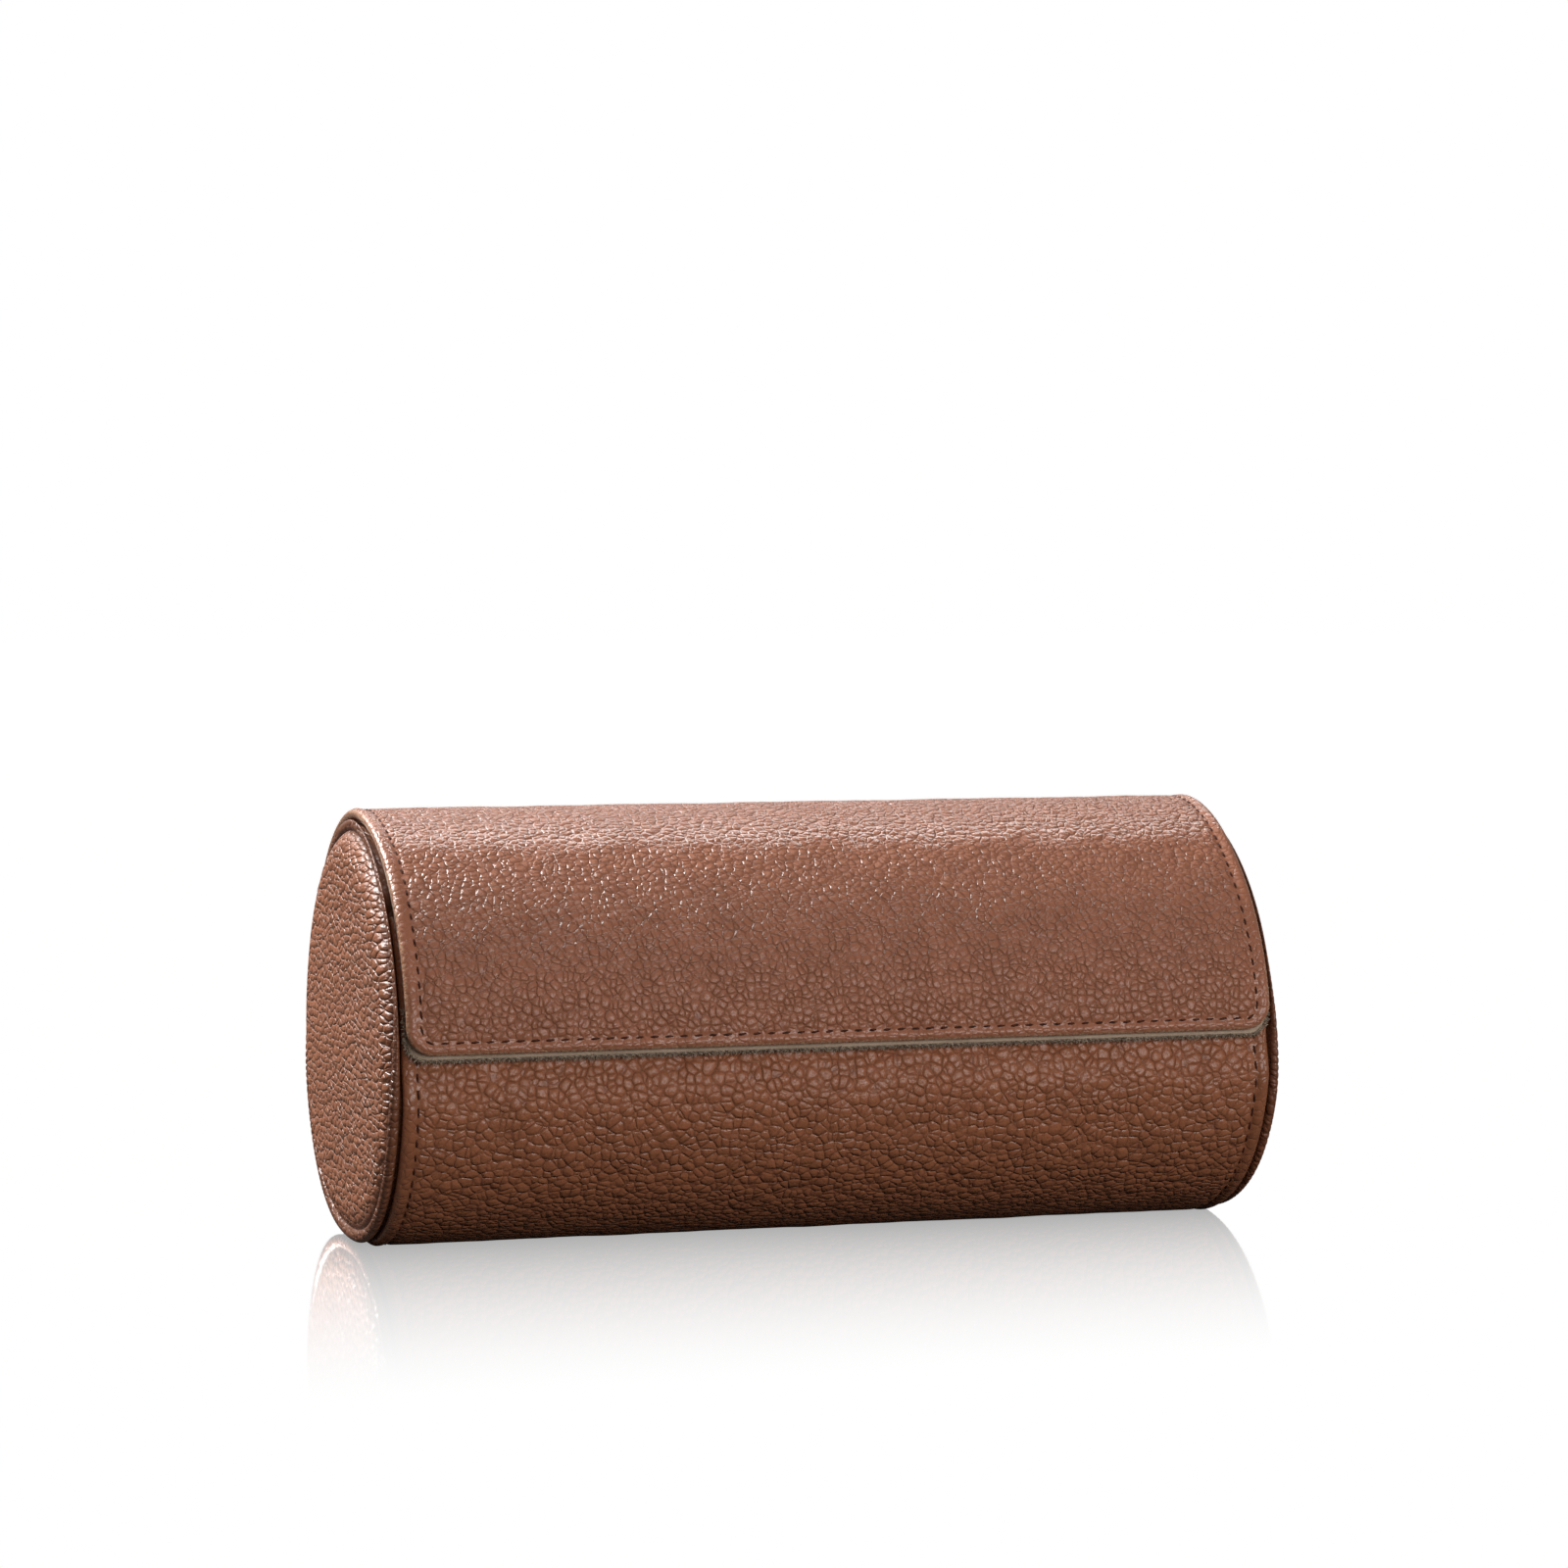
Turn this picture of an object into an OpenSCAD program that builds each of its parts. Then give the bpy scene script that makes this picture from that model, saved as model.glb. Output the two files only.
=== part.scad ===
// Watch roll: a stiff oval leather tube on its side, with a flap that folds open at the back,
// padded end caps, and three compartments that each hold a watch pillow.
// X runs along the roll, the flap's lower edge is at the front (-Y), and Z = 0 is what it stands on.
// Angles go round the oval from the back (0) over the top (90) and the front (180) to the base (270).

/* [Tube] */
// Length of the wrapped tube between its two end edges
tube_len = 200; // [150:1:260]
// Depth of the oval tube from front to back
oval_d = 108; // [90:0.5:130]
// Height of the oval before its base is flattened
oval_h = 98; // [85:0.5:120]
// Fullness of the upper half, where 2 is an ellipse
crown_n = 1.88; // [1.76:0.02:2.4]
// Fullness of the lower half
belly_n = 2.28; // [2:0.02:2.8]
// Width of the flat that the roll stands on
base_w = 24; // [12:1:36]
// Angle of the front wall's top edge
front_a = 140; // [134:1:144]

/* [Layers] */
// Thickness of the outer leather
leather_t = 1.1; // [0.8:0.05:1.6]
// Thickness of the stiffening boards in the wall and the flap
board_t = 1.4; // [1.35:0.05:2.2]
// Thickness of the suede lining
lining_t = 0.7; // [0.4:0.05:1.2]
// How far the lining stays back from a turned leather edge
lining_inset = 2.4; // [1:0.1:5]

/* [Flap] */
// How far the flap's ends lie inside the tube's end edges
flap_inset = 0.5; // [0.3:0.1:5]
// Angle of the fold at the back
hinge_a = 40; // [32:1:52]
// Width of the fold between the wall's board edge and the flap's
fold_w = 8; // [5:0.5:12]
// How far the flap's lower edge hangs below the oval's mid-height
lip_drop = 1.2; // [0.5:0.1:12]
// How far the flap's lower edge stands proud of the oval
flap_proud = 0.6; // [0.4:0.1:3]
// Clearance between the closed flap and what is under it
flap_gap = 0.4; // [0.3:0.05:1]
// Radius of the flap's two lower corners
corner_r = 6; // [3:0.5:14]

/* [End caps] */
// How far a cap's face stands out past the tube
cap_out = 3.2; // [2.4:0.1:6]
// How far the rolled rim lies inside the tube's outline
rim_inset = 1.2; // [0.8:0.1:3]
// Width of the rolled rim
rim_w = 3; // [2:0.1:5]
// Gap between the tube's edge and the rolled rim
rim_gap = 0.35; // [0.2:0.05:0.8]
// Depth of the crease between the rim and the padded face
crease_depth = 1; // [0.4:0.1:1.6]
// How far the padding lies inside the crease
pad_inset = 3.5; // [2.5:0.5:8]
// How far a cap reaches into the tube
skirt_depth = 3.2; // [2.6:0.1:8]
// Thickness of the end boards
end_board_t = 2; // [1.2:0.1:2.4]

/* [Compartments] */
// Number of dividers
dividers = 2; // [2]
// Thickness of a divider's board
divider_board_t = 1.5; // [1:0.1:3]
// Height of the dividers' top edge
divider_top = 70; // [45:1:76]
// Radius of a divider's upper corners
shoulder_r = 18; // [8:1:24]

/* [Pillows] */
// Depth of a pillow, across the roll
pillow_d = 66; // [50:1:72]
// Height of a pillow
pillow_h = 52; // [40:1:58]
// Clearance between a pillow's end and the wall beside it
pillow_side = 2; // [1:0.5:6]
// Clearance under a pillow
pillow_seat = 0.4; // [0.3:0.1:1]
// How far a pillow's sides draw in towards its ends
draw_in = 9; // [4:0.5:14]
// Thickness of the pillow's cover and wadding over its foam
cover_t = 1.6; // [1:0.1:3]

/* [Magnets] */
// Diameter of a closing magnet
magnet_d = 12; // [8:0.5:13]
// Thickness of a closing magnet
magnet_t = 0.8; // [0.5:0.05:0.85]
// Distance between the two pairs of magnets
magnet_pitch = 110; // [60:1:140]
// Distance of a magnet's centre below the front wall's top edge
magnet_drop = 9; // [8.5:0.5:12]

/* [Hidden] */

leather_c = [0.50, 0.32, 0.24];
suede_c = [0.66, 0.60, 0.52];
board_c = [0.55, 0.52, 0.48];
foam_c = [0.90, 0.88, 0.80];
steel_c = [0.70, 0.70, 0.72];

// Angular step of the walls, and of the caps' and pillows' moulded faces
wall_step = 4;
cap_step = 8;
pillow_step = 12;

half_d = oval_d / 2;
half_h = oval_h / 2;
mean_r = (half_d + half_h) / 2;
base_half = asin(pow(base_w / oval_d, belly_n / 2));
centre_y = flap_proud / 2;
centre_z = half_h * pow(cos(base_half), 2 / belly_n);
lip_a = 180 + asin(pow(lip_drop / half_h, belly_n / 2));
lip_z = centre_z - lip_drop;

wall_t = leather_t + board_t;
flap_t = wall_t + lining_t;
fold_half = turn(fold_w / 2);
back_a = hinge_a - fold_half;
flap_a = hinge_a + fold_half;
// Where the flap begins to stand off the oval, and how gently the wall runs out from under it
stand_off_a = 145;
run_out_a = 12;
// How far before the front wall's edge a cap's skirt steps in behind it
seat_ramp = 8;

end_lining_t = lining_t;
flap_len = tube_len - 2 * flap_inset;
inner_len = tube_len - 2 * (skirt_depth + end_lining_t);
divider_t = divider_board_t + 2 * lining_t;
bays = dividers + 1;
bay_len = (inner_len - dividers * divider_t) / bays;
bay_pitch = bay_len + divider_t;
pillow_len = bay_len - 2 * pillow_side;
magnet_a = front_a + turn(magnet_drop);
// Depth below a board's outer face at which a flat magnet clears both faces of the curved board
magnet_depth = board_t / 2 + pow(magnet_d, 2) / (16 * mean_r);
pillow_z = wall_t + lining_t + pillow_seat + pillow_h / 2;

// Angle that a length takes up round the wall
function turn(len) = len / mean_r * 180 / PI;
function signed_pow(v, p) = sign(v) * pow(abs(v), p);
function ease(u) = let (c = min(max(u, 0), 1)) c * c * (3 - 2 * c);

function fullness(t) = sin(t) >= 0 ? crown_n : belly_n;
function oval(t) =
    [half_d * signed_pow(cos(t), 2 / fullness(t)), half_h * signed_pow(sin(t), 2 / fullness(t))];
function outward(t) =
    let (n = fullness(t), p = oval(t))
    let (g = [signed_pow(p.x / half_d, n - 1) / half_d, signed_pow(p.y / half_h, n - 1) / half_h])
    g / norm(g);
// Point of the section at an angle, so far outside the oval
function at(t, off) = oval(t) + off * outward(t) + [centre_y, centre_z];

function grid(t1, t2, step) =
    [for (k = [ceil(t1 / step):floor(t2 / step)]) if (k * step > t1 + 0.1 && k * step < t2 - 0.1) k * step];
// Angles from t1 to t2, with none on the base flat but its two edges
function samples(t1, t2, step) =
    let (f1 = 270 - base_half, f2 = 270 + base_half)
    t1 < f1 && t2 > f2
        ? [t1, each grid(t1, f1, step), f1, f2, each grid(f2, t2, step), t2]
        : [t1, each grid(t1, t2, step), t2];
function round_trip(step) = let (s = samples(0, 360, step)) [for (i = [0:len(s) - 2]) s[i]];
function reversed(list) = [for (i = [len(list) - 1:-1:0]) list[i]];

// Outer faces of the flap and of the wall, as distances outside the oval
function flap_face(t) = flap_proud * ease((t - stand_off_a) / (180 - stand_off_a));
function wall_face(t) =
    let (under = flap_face(min(t, 180)) - flap_t - flap_gap)
    t < lip_a ? under : under * (1 - ease((t - lip_a) / run_out_a));
// The same for any angle of a full turn, where the wall is open under the flap
function lap(t) = t < front_a ? t + 360 : t;
function seat_face(t) =
    let (back = wall_face(back_a + 360) - wall_t, front = wall_face(front_a) - wall_t)
    let (open = -flap_t - flap_gap)
    t <= back_a || t >= front_a
        ? wall_face(lap(t)) - wall_t
        : open
            + (back - open) * (1 - ease((t - back_a) / (2 * fold_half)))
            + (front - open) * ease((t - front_a + seat_ramp) / seat_ramp);

module along_x(x1, x2) {
    translate([x1, 0, 0]) rotate([90, 0, 90]) linear_extrude(height = x2 - x1) children();
}

// Band of the section between two faces, given as functions of the angle
module band(t1, t2, outer, inner) {
    s = samples(t1, t2, wall_step);
    polygon(concat([for (t = s) at(t, outer(t))], [for (t = reversed(s)) at(t, inner(t))]));
}

module disc(face, step = wall_step) {
    polygon([for (t = round_trip(step)) at(t, face(t))]);
}

// Closed skin over rings of points that follow each other along +X
module loft(rings) {
    n = len(rings[0]);
    last = len(rings) - 1;
    sides = [for (i = [0:last - 1], j = [0:n - 1])
        let (k = (j + 1) % n)
        each [[i * n + j, i * n + n + j, i * n + n + k], [i * n + j, i * n + n + k, i * n + k]]];
    caps = [[for (j = [0:n - 1]) j], [for (j = [n - 1:-1:0]) last * n + j]];
    polyhedron([for (r = rings) each r], concat(sides, caps));
}

// Puts children at an end edge of the tube, with +X pointing out of it
module at_end(side) {
    translate([side * tube_len / 2, 0, 0]) mirror([side < 0 ? 1 : 0, 0, 0]) children();
}

// Puts children in the wall at an angle, with +Z pointing out of it
module in_wall(x, t, off) {
    p = at(t, off);
    n = outward(t);
    translate([x, p.x, p.y]) rotate([-atan2(n.x, n.y), 0, 0]) children();
}

// Case
module case_shell(inset, outer, inner) {
    edge = turn(inset);
    along_x(-tube_len / 2 + inset, tube_len / 2 - inset)
        band(front_a + edge, 360 + back_a - edge, outer, inner);
}

module case_pocket(inner_t) {
    case_shell(leather_t, function (t) wall_face(t) - leather_t, function (t) wall_face(t) - inner_t);
}

module case_leather() {
    color(leather_c) difference() {
        case_shell(0, function (t) wall_face(t), function (t) wall_face(t) - wall_t);
        case_pocket(wall_t + leather_t);
    }
}

module magnet_hole(t, off) {
    for (side = [-1, 1])
        in_wall(side * magnet_pitch / 2, t, off)
            cylinder(d = magnet_d, h = 3 * board_t, center = true, $fn = 48);
}

module case_board() {
    color(board_c) difference() {
        case_pocket(wall_t);
        magnet_hole(magnet_a, wall_face(magnet_a) - leather_t - magnet_depth);
    }
}

module case_lining() {
    edge = turn(lining_inset);
    color(suede_c) along_x(-inner_len / 2, inner_len / 2)
        band(front_a + edge, 360 + back_a - edge,
            function (t) wall_face(t) - wall_t, function (t) wall_face(t) - wall_t - lining_t);
}

module fold_leather() {
    color(leather_c) along_x(-flap_len / 2, flap_len / 2)
        band(back_a, flap_a - turn(flap_gap), function (t) 0, function (t) -leather_t);
}

module fold_lining() {
    color(suede_c) along_x(-inner_len / 2, inner_len / 2)
        band(back_a, flap_a - turn(flap_gap), function (t) -leather_t, function (t) -leather_t - lining_t);
}

module magnet(side, t, off) {
    color(steel_c) in_wall(side * magnet_pitch / 2, t, off)
        cylinder(d = magnet_d, h = magnet_t, center = true, $fn = 48);
}

module case_magnet(side) {
    magnet(side, magnet_a, wall_face(magnet_a) - leather_t - magnet_depth);
}

// End caps
// A ring of the cap's leather, so far out of the tube's end and with its face given as a function
function cap_ring(out, face) = [for (t = round_trip(cap_step)) let (p = at(t, face(t))) [out, p.x, p.y]];

module cap_skin() {
    rim_mid = (rim_gap + cap_out) / 2;
    rim_r = (cap_out - rim_gap) / 2;
    rim_face = -rim_inset - rim_w / 2;
    crease = cap_out - crease_depth;
    loft([
        cap_ring(-skirt_depth, function (t) seat_face(t)),
        cap_ring(rim_gap, function (t) seat_face(t)),
        for (a = [-90:40:110]) cap_ring(rim_mid + rim_r * sin(a), function (t) rim_face + rim_w / 2 * cos(a)),
        cap_ring(crease, function (t) rim_face - rim_w / 2),
        cap_ring(crease + crease_depth * 0.6, function (t) rim_face - rim_w / 2 - 2.5),
        cap_ring(crease + crease_depth * 0.85, function (t) rim_face - rim_w / 2 - 9)
    ]);
}

module pad_block() {
    along_x(end_board_t - skirt_depth, cap_out - crease_depth - leather_t)
        disc(function (t) -rim_inset - rim_w - pad_inset);
}

module end_leather(side) {
    color(leather_c) at_end(side) difference() {
        cap_skin();
        along_x(-skirt_depth - leather_t, end_board_t - skirt_depth)
            disc(function (t) seat_face(t) - leather_t);
        pad_block();
    }
}

module end_pad(side) {
    color(foam_c) at_end(side) pad_block();
}

module end_board(side) {
    color(board_c) at_end(side) along_x(-skirt_depth, end_board_t - skirt_depth)
        disc(function (t) seat_face(t) - leather_t);
}

module end_lining(side) {
    color(suede_c) at_end(side) along_x(-skirt_depth - end_lining_t, -skirt_depth)
        disc(function (t) seat_face(t));
}

// Dividers
function arc_points(centre, r, a1, a2) =
    [for (i = [0:6]) let (a = a1 + (a2 - a1) * i / 6) centre + r * [cos(a), sin(a)]];

module divider_plate(thickness, inset) {
    r = shoulder_r - inset;
    top = divider_top - inset;
    c = half_d - shoulder_r;
    intersection() {
        along_x(-thickness / 2, thickness / 2)
            disc(function (t) t <= back_a || t >= front_a ? wall_face(lap(t)) - flap_t : -flap_t);
        along_x(-thickness, thickness) translate([centre_y, 0]) polygon(concat(
            [[-half_d, 0], [half_d, 0]],
            arc_points([c, top - r], r, 0, 90),
            arc_points([-c, top - r], r, 90, 180)
        ));
    }
}

module divider_board(side) {
    color(board_c) translate([side * bay_pitch / 2, 0, 0]) divider_plate(divider_board_t, lining_t);
}

module divider_suede(side) {
    color(suede_c) translate([side * bay_pitch / 2, 0, 0]) difference() {
        divider_plate(divider_t, 0);
        divider_plate(divider_board_t, lining_t);
    }
}

// Flap
module flap_plan(inset) {
    r = corner_r - inset;
    x = flap_len / 2 - inset;
    z = lip_z + inset;
    translate([0, oval_d, 0]) rotate([90, 0, 0]) linear_extrude(height = 2 * oval_d) polygon(concat(
        [[x, 2 * oval_h], [-x, 2 * oval_h]],
        arc_points([-x + r, z + r], r, 180, 270),
        arc_points([x - r, z + r], r, 270, 360)
    ));
}

module flap_panel(inset, outer, inner) {
    intersection() {
        along_x(-flap_len / 2, flap_len / 2)
            band(flap_a + turn(inset), lip_a + run_out_a, outer, inner);
        flap_plan(inset);
    }
}

module flap_pocket(inner_t) {
    flap_panel(leather_t, function (t) flap_face(t) - leather_t, function (t) flap_face(t) - inner_t);
}

module flap_leather() {
    color(leather_c) difference() {
        flap_panel(0, function (t) flap_face(t), function (t) flap_face(t) - wall_t);
        flap_pocket(wall_t + leather_t);
    }
}

module flap_board() {
    color(board_c) difference() {
        flap_pocket(wall_t);
        magnet_hole(magnet_a, flap_face(magnet_a) - leather_t - magnet_depth);
    }
}

module flap_lining() {
    color(suede_c)
        flap_panel(0.3, function (t) flap_face(t) - wall_t, function (t) flap_face(t) - flap_t);
}

module flap_magnet(side) {
    magnet(side, magnet_a, flap_face(magnet_a) - leather_t - magnet_depth);
}

// Pillows
pillow_n = 2.3;
pillow_rings = 4;

// Ring of a pillow, at a share u of its half length, whose sides draw in towards the ends
function pillow_ring(u, shrink) =
    let (in = shrink + draw_in * (1 - pow(1 - pow(abs(u), 5), 0.5)))
    [for (t = [0:pillow_step:359])
        [u * (pillow_len / 2 - shrink),
        centre_y + (pillow_d / 2 - in) * signed_pow(cos(t), 2 / pillow_n),
        pillow_z + (pillow_h / 2 - in) * signed_pow(sin(t), 2 / pillow_n)]];

module pillow_form(shrink) {
    loft([for (k = [-pillow_rings:pillow_rings]) pillow_ring(sin(90 * k / pillow_rings), shrink)]);
}

module pillow_cover(place) {
    color(suede_c) translate([place * bay_pitch, 0, 0]) difference() {
        pillow_form(0);
        pillow_form(cover_t);
    }
}

module pillow_foam(place) {
    color(foam_c) translate([place * bay_pitch, 0, 0]) pillow_form(cover_t);
}

case_leather();
case_board();
case_lining();
fold_leather();
fold_lining();
end_leather(-1);  // end_leather_left
end_leather(1);  // end_leather_right
end_pad(-1);  // end_pad_left
end_pad(1);  // end_pad_right
end_board(-1);  // end_board_left
end_board(1);  // end_board_right
end_lining(-1);  // end_lining_left
end_lining(1);  // end_lining_right
divider_board(-1);  // divider_board_left
divider_board(1);  // divider_board_right
divider_suede(-1);  // divider_suede_left
divider_suede(1);  // divider_suede_right
case_magnet(-1);  // case_magnet_left
case_magnet(1);  // case_magnet_right
flap_leather();
flap_board();
flap_lining();
flap_magnet(-1);  // flap_magnet_left
flap_magnet(1);  // flap_magnet_right
pillow_cover(-1);  // pillow_cover_left
pillow_cover(0);  // pillow_cover_centre
pillow_cover(1);  // pillow_cover_right
pillow_foam(-1);  // pillow_foam_left
pillow_foam(0);  // pillow_foam_centre
pillow_foam(1);  // pillow_foam_right
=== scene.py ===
"""Looks of a watch roll: a stiff oval leather tube on its side, a flap that folds open at the back,
padded end caps, and three compartments that each hold a suede watch pillow.

Sizes are millimetres and degrees, in the part's own frame: X along the roll, the flap's lower edge at
the front (-Y), and Z = 0 is what it stands on. Angles go round the oval section from the back (0) over
the top (90) and the front (180) to the base (270).
"""

import logging
import math
from dataclasses import dataclass
from enum import Enum
from functools import reduce
from typing import Callable, Sequence

import bpy
import numpy as np
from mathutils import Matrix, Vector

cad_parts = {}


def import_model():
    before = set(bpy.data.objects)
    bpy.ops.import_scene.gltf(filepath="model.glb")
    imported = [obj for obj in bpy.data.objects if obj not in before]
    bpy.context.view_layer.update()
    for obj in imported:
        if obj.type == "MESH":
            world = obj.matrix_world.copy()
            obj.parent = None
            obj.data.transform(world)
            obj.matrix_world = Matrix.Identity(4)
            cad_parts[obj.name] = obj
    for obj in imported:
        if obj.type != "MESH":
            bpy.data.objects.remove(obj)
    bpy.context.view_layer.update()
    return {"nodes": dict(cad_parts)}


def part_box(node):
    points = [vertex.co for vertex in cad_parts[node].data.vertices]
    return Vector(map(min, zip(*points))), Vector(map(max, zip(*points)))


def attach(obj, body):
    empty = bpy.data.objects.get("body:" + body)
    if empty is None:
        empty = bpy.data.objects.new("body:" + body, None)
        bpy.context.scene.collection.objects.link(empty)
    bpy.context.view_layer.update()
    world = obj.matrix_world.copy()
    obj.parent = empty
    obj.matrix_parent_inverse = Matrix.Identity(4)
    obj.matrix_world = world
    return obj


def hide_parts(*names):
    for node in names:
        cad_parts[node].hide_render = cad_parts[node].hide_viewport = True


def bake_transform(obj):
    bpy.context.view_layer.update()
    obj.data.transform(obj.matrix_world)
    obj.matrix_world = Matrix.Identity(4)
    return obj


LOG = logging.getLogger("watch_roll")
MM = 0.001

RULER_END, RULER_POINTS = 440.0, 3521
UNEVEN_WAVES = (
    (0.031, 0.052, 0.3, 0.05),
    (0.083, -0.041, 1.7, 0.035),
    (0.057, 0.117, 4.1, 0.03),
    (0.19, 0.073, 2.2, 0.015),
)
UNEVEN_SCALE = 1.3
SHARP_ANGLE = math.radians(75)
UNEVEN_FADE = 6.0
ROUND_POINTS = 6
BORDER_STEP = 0.35
SEAM_MARGIN = 3.0
SEAM_FADE = 1.2
TIP_WIDTH = 0.75
TIP_FADE = 0.35
INNER_GRAIN = 7.0
LINE_STEP = 0.5
CUT_ROLL = 0.3
FLOOR_HALF = 6.0
INNER_SHARES = (0.02, 0.3, 0.6, 0.85)
WHITE = (1.0, 1.0, 1.0, 1.0)

Array = np.ndarray
Offset = Callable[[Array], Array]
Line = tuple[Array, Array]
Point = tuple[float, float, float]
Socket = bpy.types.NodeSocket
Value = float | tuple | Socket | bpy.types.Material


class Side(Enum):
    """An end of the roll."""

    LEFT = -1
    RIGHT = 1


class Place(Enum):
    """A compartment of the roll."""

    LEFT = -1
    CENTRE = 0
    RIGHT = 1


def ease(share: Array) -> Array:
    """Smooth step from 0 to 1 while a share goes from 0 to 1."""
    held = np.clip(share, 0.0, 1.0)
    return held * held * (3.0 - 2.0 * held)


def below(face: Offset, depth: float) -> Offset:
    """A face that lies so far inside another one."""
    return lambda angle: face(angle) - depth


def signed_power(value: Array, power: float) -> Array:
    """Power of a number's size, with the number's sign."""
    return np.sign(value) * np.abs(value) ** power


# Section


@dataclass(frozen=True)
class Section:
    """The oval that the roll's wall follows, flat at the base, and the faces of its layers."""

    depth: float = 108.0
    height: float = 98.0
    crown_power: float = 1.88
    belly_power: float = 2.28
    base_width: float = 24.0
    leather: float = 1.1
    board: float = 1.4
    lining: float = 0.7
    flap_proud: float = 0.6
    flap_gap: float = 0.4
    lip_drop: float = 1.2
    hinge_angle: float = 40.0
    fold_width: float = 8.0
    front_angle: float = 140.0
    stand_off_angle: float = 145.0
    run_out: float = 12.0
    seat_ramp: float = 8.0
    flare: float = 1.2
    flare_span: tuple[float, float] = (-45.0, 135.0)
    flare_ramps: tuple[float, float] = (60.0, 50.0)
    base_turn: float = 0.3

    @property
    def wall(self) -> float:
        """Thickness of the wall's leather and board."""
        return self.leather + self.board

    @property
    def flap(self) -> float:
        """Thickness of the whole flap."""
        return self.wall + self.lining

    @property
    def mean_radius(self) -> float:
        """Mean radius of the oval."""
        return (self.depth + self.height) / 4

    @property
    def base_half(self) -> float:
        """Half of the angle that the flat base takes up."""
        return math.degrees(math.asin((self.base_width / self.depth) ** (self.belly_power / 2)))

    @property
    def centre(self) -> Array:
        """Centre of the oval, as Y and Z."""
        rise = math.cos(math.radians(self.base_half)) ** (2 / self.belly_power)
        return np.array([self.flap_proud / 2, self.height / 2 * rise])

    @property
    def lip_angle(self) -> float:
        """Angle of the flap's lower edge."""
        return 180 + math.degrees(math.asin((self.lip_drop / (self.height / 2)) ** (self.belly_power / 2)))

    @property
    def back_angle(self) -> float:
        """Angle at which the wall's board stops at the back."""
        return self.hinge_angle - self.turn(self.fold_width / 2)

    @property
    def flap_angle(self) -> float:
        """Angle at which the flap's board starts."""
        return self.hinge_angle + self.turn(self.fold_width / 2)

    def turn(self, length: float) -> float:
        """Angle that a length takes up round the wall."""
        return math.degrees(length / self.mean_radius)

    def round_at(self, angle: Array, offset: Array) -> Array:
        """Point of the full oval, without its flat base, at an angle and so far outside it."""
        turn = np.radians(angle)
        cosine, sine = np.cos(turn), np.sin(turn)
        power = np.where(sine >= 0, self.crown_power, self.belly_power)
        half = np.array([self.depth / 2, self.height / 2])
        point = np.stack([signed_power(cosine, 2 / power), signed_power(sine, 2 / power)], -1)
        gradient = np.stack([signed_power(point[..., i], power - 1) / half[i] for i in (0, 1)], -1)
        gradient /= np.linalg.norm(gradient, axis=-1, keepdims=True)
        return point * half + np.asarray(offset)[..., None] * gradient + self.centre

    def at(self, angle: Array, offset: Array) -> Array:
        """Point of the section, on the flat base where the angle lies there.

        Args:
            angle: Angles round the oval.
            offset: Distances outside it, one for each angle.

        Returns:
            An array with Y and Z in its last axis.
        """
        angle = np.asarray(angle, float)
        offset = np.broadcast_to(np.asarray(offset, float), angle.shape)
        point = self.round_at(np.mod(angle, 360.0), offset)
        base = self.round_at(np.full_like(angle, 270 - self.base_half), offset)[..., 1]
        apart = point[..., 1] - base
        point[..., 1] = (point[..., 1] + base + np.hypot(apart, self.base_turn)) / 2
        return point

    def ruler(self) -> tuple[Array, Array]:
        """Angles over more than a full turn, and how far each is round the oval from the back."""
        angle = np.linspace(0.0, RULER_END, RULER_POINTS)
        point = self.at(angle, np.zeros_like(angle))
        steps = np.linalg.norm(np.diff(point, axis=0), axis=1)
        return angle, np.concatenate([[0.0], np.cumsum(steps)])

    def reach(self, angle: float | Array) -> Array:
        """Distance round the oval at an angle."""
        return np.interp(angle, *self.ruler())

    def angle_at(self, reach: Array) -> Array:
        """Angle at a distance round the oval."""
        angle, length = self.ruler()
        return np.interp(reach, length, angle)

    def flap_face(self, angle: Array) -> Array:
        """Outer face of the flap, as a distance outside the oval."""
        return self.flap_proud * ease((angle - self.stand_off_angle) / (180 - self.stand_off_angle))

    def wall_face(self, angle: Array) -> Array:
        """Outer face of the wall: stepped in under the flap, and running out below its lip."""
        under = self.flap_face(np.minimum(angle, 180)) - self.flap - self.flap_gap
        return under * (1 - ease((angle - self.lip_angle) / self.run_out))

    def side_flare(self, angle: Array) -> Array:
        """How far the leather's side edges stand out past the tube at its back and top."""
        turn = np.where(angle > 270, angle - 360, angle)
        (first, last), (rise, fall) = self.flare_span, self.flare_ramps
        return self.flare * ease((turn - first) / rise) * ease((last - turn) / fall)

    def seat_face(self, angle: Array) -> Array:
        """Face on which an end cap's skirt seats inside the tube, at any angle of a full turn."""
        back_end = np.array(self.back_angle + 360)
        back = self.wall_face(back_end) - self.wall
        front = self.wall_face(np.array(self.front_angle)) - self.wall
        bare = -self.flap - self.flap_gap
        lapped = np.where(angle < self.front_angle, angle + 360, angle)
        fold = self.flap_angle - self.back_angle
        across = bare + (back - bare) * (1 - ease((angle - self.back_angle) / fold))
        across = across + (front - bare) * ease((angle - self.front_angle + self.seat_ramp) / self.seat_ramp)
        walled = (angle <= self.back_angle) | (angle >= self.front_angle)
        return np.where(walled, self.wall_face(lapped) - self.wall, across)


# Finishes


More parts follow.
